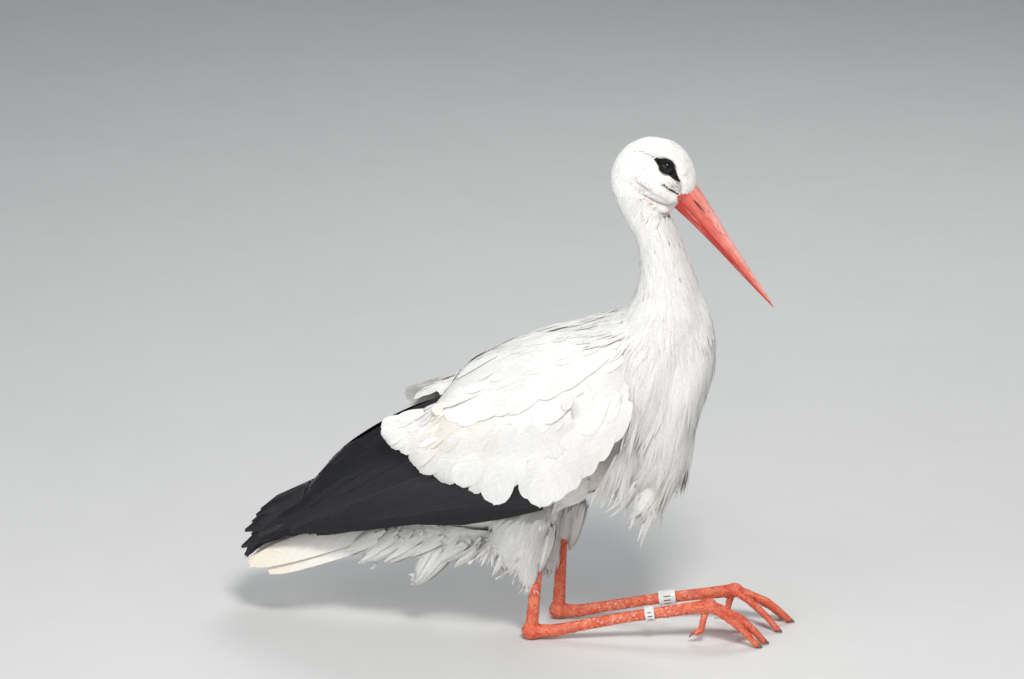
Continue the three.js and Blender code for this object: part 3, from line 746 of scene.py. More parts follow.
# ---------------------------------------------------------------- feathers
class Vane:
    """The shape of one feather: a closed blade of rows from root to tip and columns across."""

    def __init__(self, rows, columns, broadest=0.5, root=0.4, round_end=2.0, blunt=0.0):
        self.rows, self.columns = rows, columns
        step = np.arange(rows) / (rows - 1 if blunt else rows)
        row_t = 1 - (1 - step) ** 1.5
        u = np.linspace(-1, 1, columns)
        t = np.repeat(row_t, columns)
        across = np.tile(u, rows)
        rise = root + (1 - root) * np.sin(np.pi / 2 * np.minimum(t / broadest, 1))
        past = np.clip((t - broadest) / (1 - broadest), 0, 1)
        fall = np.maximum(1 - past**round_end, 0) ** (0.5 if round_end >= 1.7 else 0.9)
        width = rise * np.maximum(fall, blunt)
        arch = 1 - across**2
        top = np.stack([t, across * width, arch * width, arch * 0], 1)
        inner = slice(1, columns - 1)
        grid = top.reshape(rows, columns, 4)
        under = grid[:, inner].copy()
        under[..., 3] = 1
        self.points = np.concatenate([top, under.reshape(-1, 4)])
        index = np.arange(rows * columns).reshape(rows, columns)
        below = index.copy()
        below[:, inner] = rows * columns + np.arange(rows * (columns - 2)).reshape(rows, columns - 2)
        faces = [quads(index[:-1, :-1], index[:-1, 1:], index[1:, 1:], index[1:, :-1])]
        faces.append(quads(below[:-1, :-1], below[1:, :-1], below[1:, 1:], below[:-1, 1:]))
        faces.append(quads(index[0, :-1], below[0, :-1], below[0, 1:], index[0, 1:]))
        if blunt:
            faces.append(quads(index[-1, :-1], index[-1, 1:], below[-1, 1:], below[-1, :-1]))
            self.triangles = np.zeros((0, 3), int)
        else:
            tip = len(self.points)
            self.points = np.concatenate([self.points, [[1, 0, 0, 0]]])
            over = np.stack([index[-1, :-1], index[-1, 1:], np.full(columns - 1, tip)], 1)
            beneath = np.stack([below[-1, 1:], below[-1, :-1], np.full(columns - 1, tip)], 1)
            self.triangles = np.concatenate([over, beneath])
        four = np.concatenate(faces)
        flat = (four[:, 0] == four[:, 1]) | (four[:, 2] == four[:, 3])
        folded = four[flat]
        three = np.where((folded[:, 0] == folded[:, 1])[:, None], folded[:, [1, 2, 3]], folded[:, [0, 1, 2]])
        self.triangles = np.concatenate([self.triangles, three])
        self.quads = four[~flat]


def quads(*corners):
    return np.stack([corner.ravel() for corner in corners], 1)


RIM_ANGLE = math.radians(70)
STATIONS = np.array([0, 1 / 3, 2 / 3, 1])


def curve_weights(t):
    """Weights of four evenly spaced points for a smooth curve through them, and of its slope."""
    value = np.ones((len(t), 4))
    slope = np.zeros((len(t), 4))
    for i in range(4):
        others = [j for j in range(4) if j != i]
        scale = np.prod([STATIONS[i] - STATIONS[j] for j in others])
        value[:, i] = np.prod([t - STATIONS[j] for j in others], axis=0) / scale
        for skip in others:
            rest = [j for j in others if j != skip]
            slope[:, i] += np.prod([t - STATIONS[j] for j in rest], axis=0) / scale
    return value, slope


ARCH_STEPS = (0.0, 0.5, 2.0)  # how an arched feather's fall is shared out over its three steps


def lay(tree, roots, ups, ways, lengths, rise=0.07, sink=0.3 * MM, turn=28.0, droop=0.0, hold=0.35, overhang=0.5,
        arch=0.0):
    """Four points down each feather, lying on a surface, rising off it towards the tip and short past its edge."""
    step = lengths / 3
    place, up, way = roots, ups, ways
    spine, skyward = [place], [up]
    for share in ARCH_STEPS:
        fall = np.reshape(droop + arch * share, (-1, 1))
        way = normalised(way + np.array([0, 0, -1.0]) * fall)
        ahead = place + way * step[:, None]
        on, on_up, gap = nearest(tree, ahead)
        follows = ((on_up * up).sum(1) > math.cos(math.radians(turn))) & (gap < hold * step)
        new = np.where(follows[:, None], on, ahead)
        way = normalised(new - place)
        place = place + way * (step * np.where(follows, 1, overhang))[:, None]
        up = normalised(np.where(follows[:, None], on_up, up))
        way = along_surface(way, up)
        spine.append(place)
        skyward.append(up)
    spine, skyward = np.stack(spine, 1), np.stack(skyward, 1)
    lift = -np.reshape(sink, (-1, 1)) + np.reshape(rise, (-1, 1)) * lengths[:, None] * STATIONS[None]
    return spine + skyward * lift[..., None], skyward


def grow(name, vane, spine, skyward, widths, flat, colours, material, dice,
         camber=0.25, thickness=0.25 * MM, fray=0.0, tip_colour=None):
    """One mesh of closed feathers, with the maps and tints that the materials read."""
    count = len(spine)
    t, u, arch, under = vane.points.T
    value, slope = curve_weights(t)
    centre = np.einsum("ks,nsd->nkd", value, spine)
    tangent = normalised(np.einsum("ks,nsd->nkd", slope, spine))
    up = normalised(np.einsum("ks,nsd->nkd", value, skyward))
    side = normalised(np.cross(tangent, up))
    up = np.cross(side, tangent)
    half = widths[:, None] / 2
    lengths = np.linalg.norm(np.diff(spine, axis=1), axis=2).sum(1)
    ragged = dice.normal(0, 1, (count, len(t))) * fray * lengths[:, None] * (t**6 * (1 - under))[None]
    ragged = np.where(t[None] > 0.999, ragged * 0.6, ragged)
    height = arch[None] * half * camber - under[None] * thickness * (1 - 0.6 * t[None])
    places = centre + side * (u[None] * half)[..., None] + up * height[..., None] + tangent * ragged[..., None]
    offsets = (np.arange(count) * len(t))[:, None, None]
    four = (vane.quads[None] + offsets).reshape(-1, 4)
    three = (vane.triangles[None] + offsets).reshape(-1, 3)
    loops = np.concatenate([four.ravel(), three.ravel()])
    starts = np.concatenate([np.arange(len(four)) * 4, len(four) * 4 + np.arange(len(three)) * 3])

    mesh = bpy.data.meshes.new(name)
    mesh.vertices.add(count * len(t))
    mesh.vertices.foreach_set("co", places.ravel())
    mesh.loops.add(len(loops))
    mesh.loops.foreach_set("vertex_index", loops.astype(np.int32))
    mesh.polygons.add(len(starts))
    mesh.polygons.foreach_set("loop_start", starts.astype(np.int32))
    mesh.update(calc_edges=True)
    mesh.shade_smooth()
    mesh.set_sharp_from_angle(angle=RIM_ANGLE)

    own = np.stack([u[None] * half * 100, t[None] * lengths[:, None] * 100], 2)
    PATCH = 0.003
    patch = flat[:, None] + np.stack([u * 0.5, t - 0.5], 1)[None] * PATCH
    for title, layer in (("OFBake", patch), ("vane", own)):
        mesh.uv_layers.new(name=title).data.foreach_set("uv", layer.reshape(-1, 2)[loops].ravel())
    tint = np.repeat(colours[:, None], len(t), 1)
    if tip_colour is not None:
        tint = tint + (tip_colour - tint) * (t**2)[None, :, None]
    tint_vertices(mesh, tint.reshape(-1, 3))
    obj = bpy.data.objects.new(name, mesh)
    bpy.context.scene.collection.objects.link(obj)
    obj.data.materials.append(material)
    return obj


LAYING = ("droop", "turn", "hold", "sink", "overhang")


def varied(dice, values, amount):
    return values * (1 + dice.uniform(-amount, amount, len(values)))


def swung(ways, ups, angles):
    """Directions turned about the surface's normal."""
    side = np.cross(ups, ways)
    return ways * np.cos(angles)[:, None] + side * np.sin(angles)[:, None]


def gathered(roots, spine, ways, reach, strength):
    """Draws the tips of neighbouring feathers together into locks about `reach` across."""
    leaders = apart(roots, np.full(len(roots), reach))
    tree = KDTree(len(leaders))
    for number, leader in enumerate(leaders):
        tree.insert(Vector(roots[leader]), number)
    tree.balance()
    of = leaders[[tree.find(Vector(root))[1] for root in roots]]
    pull = spine[of] - spine
    pull -= (pull * ways[:, None]).sum(-1, keepdims=True) * ways[:, None]
    return spine + pull * (strength * STATIONS**1.3)[None, :, None]


def coat(name, ground, vane, material, seed, spacing, length, width, guides, wanted=None,
         jitter=6.0, rise=0.07, spread=0.0, shade=0.04, colour=None, depth=None, locks=None,
         end_face=0.9, **shape):
    """Feathers over a form. Spacing, length and width are functions of place, in metres.

    None grows where the surface faces more than `end_face` the way the feathers point, or against it.
    """
    dice = np.random.default_rng(seed)
    allowed = wanted or (lambda places: np.ones(len(places), bool))
    roots, ups, flat = ground.scatter(spacing, seed, allowed)
    way = lie_at(roots, guides)
    way[:, 1] += spread * np.sign(roots[:, 1])
    facing = (normalised(way) * ups).sum(1)
    open_side = np.abs(facing) < end_face
    roots, ups, flat, way = roots[open_side], ups[open_side], flat[open_side], way[open_side]
    way = along_surface(way, ups)
    way = swung(way, ups, np.radians(dice.normal(0, jitter, len(roots))))
    lengths = varied(dice, length(roots), 0.14)
    laying = {key: shape.pop(key) for key in LAYING if key in shape}
    rises = varied(dice, np.full(len(roots), rise), 0.3)
    if depth is not None:
        laying["sink"] = depth(roots)
    spine, skyward = lay(ground.tree, roots, ups, way, lengths, rise=rises, **laying)
    if locks:
        spine = gathered(roots, spine, way, *locks)
    tilt = np.cross(way, ups) * dice.normal(0, 0.04, len(roots))[:, None]
    skyward = normalised(skyward + tilt[:, None])
    colours = (colour or markings)(roots) * (1 + dice.normal(0, shade, (len(roots), 1)))
    return grow(name, vane, spine, skyward, varied(dice, width(roots), 0.12), flat,
                np.clip(colours, 0, 0.92), material, dice, **shape)


def ray_to(tree, side, x, z):
    """Where a level line from the bird's side meets a form, with the normal there. Millimetres from the hocks."""
    start = spot(x, z, side * 300)
    hit, normal, _, _ = tree.ray_cast(Vector(start), Vector((0, -side, 0)))
    if hit is None:
        hit, normal, _, _ = tree.find_nearest(Vector(spot(x, z, side * 60)))
    return np.array(hit), np.array(normal)


def between(table, count):
    """`count` rows spaced evenly along a table of rows."""
    rows = np.array(table, float)
    at = np.linspace(0, len(rows) - 1, count)
    return np.stack([np.interp(at, np.arange(len(rows)), column) for column in rows.T], 1)


def aimed(table):
    """Rows of root x, z, tip x, z and width, from rows of tip x, z, direction in degrees, length and width."""
    x, z, angle, length, width = np.array(table, float).T
    turn = np.radians(angle)
    return np.stack([x - length * np.cos(turn), z - length * np.sin(turn), x, z, width], 1)


def row_of_feathers(name, ground, side, vane, material, seed, table, count, lie=0.03, lift=0.0,
                    twist=0.0, colour=None, shade=0.03, jitter=2.0, **shape):
    """Single large feathers over one side. A row of the table: root x, z, tip x, z and width, in millimetres.

    A sixth number arches the feather: the degrees it starts above the straight line to its tip.
    """
    dice = np.random.default_rng(seed)
    tree = ground.tree
    rows = between(table, count)
    rows[:, :4] += dice.normal(0, jitter, (count, 4))
    found = [ray_to(tree, side, x, z) for x, z in rows[:, :2]]
    roots = np.array([place for place, _ in found])
    ups = np.array([normal for _, normal in found])
    way = np.stack([rows[:, 2] - rows[:, 0], np.zeros(count), rows[:, 3] - rows[:, 1]], 1)
    lengths = np.linalg.norm(way, axis=1) * MM
    way = along_surface(normalised(way), ups)
    laying = {key: shape.pop(key) for key in LAYING if key in shape}
    if rows.shape[1] > 5:
        way = swung(way, ups, np.radians(rows[:, 5]) * side)
        laying["arch"] = np.tan(np.radians(rows[:, 5]))
    spine, skyward = lay(tree, roots, ups, way, lengths, rise=lie, **laying)
    steps = np.arange(count)[:, None] * np.array([0, 1, 1, 1])[None] * lift * MM
    spine = spine + skyward * steps[..., None]
    tilt = np.cross(normalised(spine[:, 3] - spine[:, 0]), ups) * twist
    skyward = normalised(skyward + tilt[:, None])
    colours = (colour or markings)(roots) * (1 + dice.normal(0, shade, (count, 1)))
    flat = ground.flat_near(roots)
    return grow(name, vane, spine, skyward, rows[:, 4] * MM, flat, np.clip(colours, 0, 0.92), material, dice, **shape)


def bundles(name, ground, vane, material, seed, locks, width, colour=None, shade=0.03, **shape):
    """Soft feathers gathered into hanging locks.

    A lock: root x, z, y, tip x, z, y, reach round the root's middle, all in millimetres, and a count.
    """
    dice = np.random.default_rng(seed)
    spines, skywards = [], []
    for root_x, root_z, root_y, tip_x, tip_z, tip_y, reach, count in locks:
        root = spot(root_x, root_z, root_y)
        tip = spot(tip_x, tip_z, tip_y)
        axis = normalised(tip - root)
        first = normalised(np.cross(axis, np.array([0, 1.0, 0.2])))
        second = np.cross(axis, first)
        angle = dice.uniform(0, 2 * math.pi, count)
        out = dice.uniform(0.15, 1, count) ** 0.5
        sideways = np.cos(angle)[:, None] * first + np.sin(angle)[:, None] * second
        length = np.linalg.norm(tip - root)
        ends = 1 - 0.35 * out**2 * dice.uniform(0.3, 1, count)
        starts = dice.uniform(0, 0.3, count)
        t = starts[:, None] + (ends - starts)[:, None] * STATIONS[None]
        breadth = out[:, None] * reach * MM * (1 - t**2.2 * 0.82)
        spines.append(root + t[..., None] * axis * length + sideways[:, None] * breadth[..., None])
        skywards.append(np.repeat(normalised(sideways + axis * 0.1)[:, None], 4, 1))
    spine, skyward = np.concatenate(spines), np.concatenate(skywards)
    roots = spine[:, 0]
    colours = (colour or markings)(roots) * (1 + dice.normal(0, shade, (len(roots), 1)))
    return grow(name, vane, spine, skyward, varied(dice, np.full(len(roots), width * MM), 0.2), ground.flat_near(roots),
                np.clip(colours, 0, 0.92), material, dice, **shape)


def node_tree(nodes):
    """A search tree over several solids, and the number of the solid that each of its faces is from."""
    places, faces, owner = [], [], []
    for number, node in enumerate(nodes):
        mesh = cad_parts[node].data
        first = len(places)
        places += [vertex.co.copy() for vertex in mesh.vertices]
        faces += [[first + index for index in face.vertices] for face in mesh.polygons]
        owner += [number] * len(mesh.polygons)
    return BVHTree.FromPolygons(places, faces), np.array(owner)


def filled(values, known, rounds=300):
    """Spreads the known values smoothly over the unknown cells of a grid."""
    values = np.where(known, values, values[known].mean())
    for _ in range(rounds):
        edge = np.pad(values, 1, mode="edge")
        mean = (edge[:-2, 1:-1] + edge[2:, 1:-1] + edge[1:-1, :-2] + edge[1:-1, 2:]) / 4
        values = np.where(known, values, mean)
    return values


def evened(values, rounds):
    for _ in range(rounds):
        edge = np.pad(values, 1, mode="edge")
        values = (edge[:-2, 1:-1] + edge[2:, 1:-1] + edge[1:-1, :-2] + edge[1:-1, 2:] + values * 4) / 8
    return values


class Sheet:
    """A smooth open surface over some solids, found by looking in towards an axis, and carried on past their edges."""

    def __init__(self, nodes, owners, origins, rays, rounds, keep=lambda node, start: True):
        tree, owner = node_tree(nodes)
        far = 0.4
        origins = np.broadcast_to(origins if origins.ndim == 3 else origins[:, None], rays.shape)
        depth = np.zeros(rays.shape[:2])
        hit_by = np.full(rays.shape[:2], -1)
        for i, j in np.ndindex(*depth.shape):
            start = origins[i, j] + rays[i, j] * far
            hit, _, face, gap = tree.ray_cast(Vector(start), Vector(-rays[i, j]), far)
            if hit is not None and keep(nodes[owner[face]], hit):
                depth[i, j] = far - gap
                hit_by[i, j] = owner[face]
        known = hit_by >= 0
        depth = evened(filled(depth, known), rounds)
        places = origins + rays * depth[..., None]
        rows, columns = depth.shape
        index = np.arange(rows * columns).reshape(rows, columns)
        faces = quads(index[:-1, :-1], index[1:, :-1], index[1:, 1:], index[:-1, 1:])
        flat = np.stack(np.meshgrid(np.linspace(0, 1, rows), np.linspace(0, 1, columns), indexing="ij"), 2).reshape(-1, 2)
        own = np.isin(hit_by, [nodes.index(node) for node in owners]).ravel()
        points = places.reshape(-1, 3)
        corners = np.concatenate([faces[:, [0, 1, 2]], faces[:, [0, 2, 3]]])
        cross = np.cross(points[corners[:, 1]] - points[corners[:, 0]], points[corners[:, 2]] - points[corners[:, 0]])
        if (cross * rays.reshape(-1, 3)[corners[:, 0]]).sum() < 0:
            corners = corners[:, ::-1]
        self.tree = BVHTree.FromPolygons([Vector(point) for point in points], corners.tolist())
        self.places = points
        self.corners = corners[own[corners].all(1)]
        self.own_tree = BVHTree.FromPolygons([Vector(point) for point in points], self.corners.tolist())
        self.flat = flat[self.corners]

    def scatter(self, *arguments, **settings):
        return Ground.scatter(self, *arguments, **settings)

    def flat_near(self, places):
        return Ground.flat_near(self, places)


FLIGHT_PARTS = ("tertials", "secondaries", "primaries")


def wing_sheet(side):
    """The white outer face of a folded wing, seen in towards a level line through the body."""
    sign = SIDES[side]
    x = np.arange(-240, 128, 4.0)
    turn = np.radians(np.arange(-62, 96, 2.0))
    origins = np.stack([BIRD_X + x * MM, x * 0, (250 + np.minimum(x, 0) * 0.18) * MM], 1)
    rays = np.stack([turn * 0, np.cos(turn) * sign, np.sin(turn)], 1)
    white = [f"wing_{side}_scapulars", f"wing_{side}_coverts"]
    black = [f"wing_{side}_{part}" for part in FLIGHT_PARTS]
    return Sheet(white + black, white, origins, np.repeat(rays[None], len(x), 0), 26)


def flight_sheet(side):
    """The outer face of the black feathers of a folded wing, seen level from its side."""
    x = np.arange(-376, 24, 4.0)
    z = np.arange(48, 296, 4.0)
    along, up = np.meshgrid(x, z, indexing="ij")
    origins = np.stack([BIRD_X + along * MM, along * 0, up * MM], 2)
    rays = np.broadcast_to(np.array([0, SIDES[side], 0.0]), origins.shape)
    nodes = [f"wing_{side}_{part}" for part in FLIGHT_PARTS]
    return Sheet(nodes, nodes, origins, rays, 14)


def side_sheet(side):
    """The white of a folded wing, run on over the black feathers, seen level from its side."""
    x = np.arange(-244, 128, 4.0)
    z = np.arange(150, 384, 4.0)
    along, up = np.meshgrid(x, z, indexing="ij")
    origins = np.stack([BIRD_X + along * MM, along * 0, up * MM], 2)
    rays = np.broadcast_to(np.array([0, SIDES[side], 0.0]), origins.shape)
    white = [f"wing_{side}_scapulars", f"wing_{side}_coverts"]
    black = [f"wing_{side}_{part}" for part in FLIGHT_PARTS]
    return Sheet(white + black, white, origins, rays, 22)


def breast_sheet():
    """The breast, its sides and its hanging plumes, seen in towards an upright line and run on over the wings."""
    z = np.arange(150, 452, 4.0)
    turn = np.radians(np.arange(-105, 106, 3.0))
    origins = np.stack([z * 0 + BIRD_X + 88 * MM, z * 0, z * MM], 1)
    rays = np.stack([np.cos(turn), np.sin(turn), turn * 0], 1)
    flesh = ["breast_plumes", "neck_lower", "neck_upper", "trunk"]
    wings = [f"wing_{side}_{part}" for side in SIDES for part in ("scapulars", "coverts")]
    hanging = 0.245

    def keep(node, hit):
        return node == "breast_plumes" or hit.z > hanging

    return Sheet(flesh + wings, flesh, origins, np.repeat(rays[None], len(z), 0), 8, keep)


# ---------------------------------------------------------------- forms under the coat
FLESH = ["head", "neck_upper", "neck_lower", "trunk", "thigh_left", "thigh_right"]
TOE_NAMES = ("middle", "outer", "inner", "hind")
LEG_NODES = {
    side: [f"{part}_{side}" for part in ("tibia", "hock", "tarsus", "foot")] + [f"toe_{toe}_{side}" for toe in TOE_NAMES]
    for side in SIDES
}


def flesh_inset(places):
    """How deep the skin lies under the solids' surface."""
    head = smooth_step(places[:, 2], 0.50, 0.545)
    thigh = 1 - smooth_step(places[:, 2], 0.07, 0.12)
    return (3.4 - 2.4 * head - 1.4 * thigh) * MM


def draw_in(form, depth):
    places = vertex_places(form)
    move_vertices(form, places - vertex_normals(form) * depth(places)[:, None])


white_feathers = white_feather_material()
soft_feathers = white_feather_material("soft feathers", pitch=0.05, streak=0.14, bump=0.45)
face_feathers = white_feather_material("face feathers", pitch=0.03, streak=0.06, bump=0.2)
black_feathers = black_feather_material()
skin = skin_material()


PLUME_BOTTOM = 95 * MM  # the thighs' rear plumes are drawn up towards this height
PLUME_SHARE = 0.46


def draw_up_plumes(form):
    places = vertex_places(form)
    x, y, z = places.T
    loose = smooth_step(BIRD_X - x, 12 * MM, 30 * MM) * (np.abs(y) > 18 * MM) * (np.abs(y) < 80 * MM) * (x > BIRD_X - 0.1)
    below = np.clip(PLUME_BOTTOM - z, 0, None) * loose * (1 - PLUME_SHARE)
    move_vertices(form, places + np.stack([below * 0, below * 0, below], 1))


def down_form(name, nodes, inset, slot, material, smoothing=5):
    """A soft form of under-feathers that the coat of those solids grows from."""
    form = swollen_copy(name, nodes, 2.6 * MM, inset, smoothing)
    unwrap(form)
    tint_vertices(form.data, markings(vertex_places(form)) * (0.05 if material is black_feathers else 0.92))
    finish_piece(form, material, slot, *nodes)
    return form


# Folds of the head: what is pushed out (+) or in (-) in millimetres, along a chain of circles (x, z, radius).
HEAD_FOLDS = [
    (1.3, [(112, 601, 5), (124, 598, 5), (137, 595, 5), (149, 587, 4.5), (158, 575, 4)]),
    (-1.0, [(107, 598, 1.8), (114, 595.5, 1.9), (121, 593, 2.2)]),
    (-1.5, [(123, 590, 3.0), (131, 586, 6), (138.5, 581.5, 9), (147, 573, 5), (153, 564, 2.5)]),
    (1.9, [(112, 566, 6), (124, 557, 5.5), (134, 551, 5), (142, 545, 5), (145, 542, 4.5)]),
    (-2.0, [(135.5, 562, 1.0), (141.5, 556.5, 1.3), (150.5, 550, 1.3)]),
    (-2.6, [(114, 549, 2.6), (123, 543, 2.4), (132, 537.5, 2.2), (141, 533.5, 2.0), (148, 535, 1.6)]),
    (1.6, [(126, 535, 3), (134, 529.5, 3), (144, 527, 3)]),
    (-0.9, [(103, 566, 3.5), (110, 561, 3.5), (118, 555, 3)]),
    (-0.7, [(104, 586, 4), (112, 578, 4.5)]),
    (0.9, [(100, 578, 7), (98, 566, 6)]),
]
HEAD_EVENING = 8  # rounds of smoothing after each division
HEAD_SHRINK = 0.2  # millimetres that the smoothing draws the head in by
THROAT_DROP = 2.4
HEAD_SIDE = (5, 11)  # the folds start this far from the middle and are full at the second distance


def fold_depths(places):
    """How far the folds of the head move the skin outwards, in metres."""
    moved = np.zeros(len(places))
    for height, chain in HEAD_FOLDS:
        soft = max(radius for _, _, radius in chain) * 0.8
        gap = chain_gap(places, [(x, z, radius * 0.35) for x, z, radius in chain]) / MM
        moved += height * MM * (1 - smooth_step(gap, 0, soft))
    moved = moved * smooth_step(np.abs(places[:, 1]), HEAD_SIDE[0] * MM, HEAD_SIDE[1] * MM)
    throat = chain_gap(places, [(134, 527, 3), (150, 524, 3)]) / MM
    return moved + THROAT_DROP * MM * (1 - smooth_step(throat, 0, 7))


def finer_head(form):
    """Divides the faces of the head, smooths them and presses the folds in."""
    only(form)
    for _ in range(2):
        mesh = form.data
        centres = np.zeros(len(mesh.polygons) * 3)
        mesh.polygons.foreach_get("center", centres)
        centres = centres.reshape(-1, 3)
        chosen = (centres[:, 2] > 0.522) & (centres[:, 0] > BIRD_X + 0.06)
        bpy.ops.object.mode_set(mode="EDIT")
        bpy.ops.mesh.select_all(action="DESELECT")
        bpy.ops.mesh.select_mode(type="FACE")
        bpy.ops.object.mode_set(mode="OBJECT")
        mesh.polygons.foreach_set("select", chosen)
        bpy.ops.object.mode_set(mode="EDIT")
        bpy.ops.mesh.subdivide(number_cuts=1)
        bpy.ops.mesh.vertices_smooth(factor=0.5, repeat=HEAD_EVENING)
        bpy.ops.object.mode_set(mode="OBJECT")
    places = vertex_places(form)
    head = (places[:, 2] > 0.52) & (places[:, 0] > BIRD_X + 0.06)
    regained = HEAD_SHRINK * MM * smooth_step(places[:, 2], 0.52, 0.545)
    depths = np.where(head, fold_depths(places) + regained, 0)
    move_vertices(form, places + vertex_normals(form) * depths[:, None])


# The opening between the lids: turned so far from level in the side view, and its half length and height.
LID_TILT = math.radians(-38)
LID_HALF = (6.9, 5.7)


def eyelids(side):
    """A rim of bare skin that lies on the eyeball and runs back under the skin round it."""
    sign = SIDES[side]
    centre = np.array(EYES[side])
    outward = normalised(np.array([0.16, sign, 0.06]))
    forward = normalised(np.cross(np.array([0, 0, 1.0]), outward) * -sign)
    upward = np.cross(outward, forward) * sign
    upward = upward * (1 if upward[2] > 0 else -1)
    around_eye = np.linspace(0, 2 * math.pi, 64, endpoint=False)
    along = np.cos(around_eye) * LID_HALF[0] * MM
    rise = np.sin(around_eye) * LID_HALF[1] * MM
    # Pinched at both corners, so that the opening is a rounded almond.
    rise = rise * (1 - 0.22 * np.abs(np.cos(around_eye)) ** 3)
    x = along * math.cos(LID_TILT) - rise * math.sin(LID_TILT)
    z = along * math.sin(LID_TILT) + rise * math.cos(LID_TILT)
    radius = EYE_RADIUS
    profile = [(0.99, -0.35), (0.985, 0.1), (1.0, 0.55), (1.06, 0.85), (1.16, 0.95), (1.3, 0.7), (1.48, 0.1), (1.62, -1.0)]
    rings = []
    for spread, proud in profile:
        flat = np.stack([x, z], 1) * spread
        out = np.sqrt(np.maximum((radius * 1.0) ** 2 - (flat**2).sum(1), 0))
        ball = centre + flat[:, :1] * forward + flat[:, 1:] * upward + out[:, None] * outward
        rings.append(ball + normalised(ball - centre) * proud * MM)
    points = np.concatenate(rings)
    index = np.arange(len(points)).reshape(len(profile), -1)
    following = np.roll(index, -1, 1)
    faces = quads(index[:-1], following[:-1], following[1:], index[1:])
    mesh = bpy.data.meshes.new(f"lids_{side}")
    mesh.from_pydata(points.tolist(), [], faces.tolist())
    lids = bpy.data.objects.new(f"lids_{side}", mesh)
    bpy.context.scene.collection.objects.link(lids)
    only(lids)
    bpy.ops.object.mode_set(mode="EDIT")
    bpy.ops.mesh.select_all(action="SELECT")
    bpy.ops.mesh.normals_make_consistent(inside=False)
    bpy.ops.object.mode_set(mode="OBJECT")
    first = mesh.polygons[len(mesh.polygons) // 2]
    if (first.center - EYES[side]).dot(first.normal) < 0:
        mesh.flip_normals()
    apply_modifier(lids, "SOLIDIFY", thickness=0.3 * MM, offset=-1)
    bpy.ops.object.shade_smooth()
    tint_vertices(lids.data, np.repeat(BLACK_SKIN[None], len(lids.data.vertices), 0))
    return lids


def eyeball(side):
    """The ball with a bulging cornea: dark brown round a black pupil."""
    sign = SIDES[side]
    bpy.ops.mesh.primitive_uv_sphere_add(segments=64, ring_count=40, radius=EYE_RADIUS, location=EYES[side])
    eye = bpy.context.object
    eye.name = f"eyeball_{side}"
    bpy.ops.object.mode_set(mode="EDIT")
    turn = math.radians(90) * sign
    bpy.ops.transform.rotate(value=turn, orient_axis="X", center_override=EYES[side])
    bpy.ops.object.mode_set(mode="OBJECT")
    bpy.ops.object.transform_apply(location=True, rotation=True, scale=True)
    places = vertex_places(eye)
    gaze = normalised(np.array([0.16, sign, 0.04]))
    out = places - np.array(EYES[side])
    facing = normalised(out) @ gaze
    bulge = smooth_step(facing, math.cos(math.radians(38)), math.cos(math.radians(12)))
    move_vertices(eye, places + gaze * (bulge * 0.45 * MM)[:, None])
    iris = np.array([0.012, 0.008, 0.009])
    pupil = np.array([0.002, 0.002, 0.002])
    rim = np.array([0.006, 0.004, 0.004])
    colour = np.where((facing > math.cos(math.radians(17)))[:, None], pupil, iris)
    colour = np.where((facing < math.cos(math.radians(36)))[:, None], rim, colour)
    tint_vertices(eye.data, colour)
    bpy.ops.object.shade_smooth()
    finish_piece(eye, eye_material_made, "eye", f"eye_{side}")


# ---------------------------------------------------------------- bill
# Share of the length, half depth above and below the axis, and half width, in millimetres.
BILL_RINGS = [
    (-0.14, 16.0, 19.0, 12.6),
    (-0.06, 17.4, 20.0, 12.4),
    (0.0, 17.4, 19.4, 11.9),
    (0.06, 16.6, 17.6, 11.0),
    (0.14, 15.2, 15.4, 10.0),
    (0.24, 13.2, 13.2, 8.9),
    (0.36, 10.9, 10.9, 7.7),
    (0.5, 8.5, 8.7, 6.4),
    (0.64, 6.2, 6.7, 5.1),
    (0.78, 4.2, 4.6, 3.7),
    (0.9, 2.4, 2.5, 2.3),
    (0.97, 1.2, 1.2, 1.2),
    (1.0, 0.4, 0.4, 0.4),
]
# The bill's red; the pink is both the paler tip's own colour and painted light on the upper side, and the pale is a
# painted highlight along the culmen.
BILL_RED = np.array([0.47, 0.032, 0.022])
BILL_PINK_TIP_AND_LIT_TOP = np.array([0.72, 0.19, 0.14])
BILL_PAINTED_HIGHLIGHT = np.array([0.86, 0.52, 0.46])
NOSTRIL_SHADE_PAINT = np.array([0.03, 0.008, 0.006])
BILL_LENGTH = 160 * MM
GAPE_DROP = 0.16 * 34 * MM


def bill_frame(places):
    """Places along the bill, up from its axis and across it."""
    gap = places - BILL_BASE
    return gap @ BILL_AXIS, gap @ BILL_UP, gap[:, 1]


def within(places, outline):
    """Whether each place lies inside a closed outline (x, z) of the side view."""
    x = (places[:, 0] - BIRD_X) / MM
    z = places[:, 2] / MM
    inside = np.zeros(len(places), bool)
    for (x1, z1), (x2, z2) in zip(outline, outline[1:] + outline[:1]):
        if z1 == z2:
            continue
        crosses = (z1 > z) != (z2 > z)
        inside ^= crosses & (x < (x2 - x1) * (z - z1) / (z2 - z1) + x1)
    return inside


def flared(places):
    """Lays the bill's root on the face where it is bare, and draws it in under the skin elsewhere."""
    along, _, _ = bill_frame(places)
    bare = within(places, BILL_EDGE + BILL_FRONT)
    for number in np.flatnonzero(along < 0.03):
        x, y, z = places[number]
        side = 1 if y > 0 else -1
        hit, _, _, _ = skin_tree.ray_cast(Vector((x, side * 0.08, z)), Vector((0, -side, 0)), 0.08)
        if hit is None:
            continue
        if bare[number]:
            places[number, 1] = side * max(abs(y), abs(hit.y) + 0.45 * MM)
        else:
            places[number, 1] = side * min(abs(y), max(abs(hit.y) - 1.2 * MM, 0))
    return places


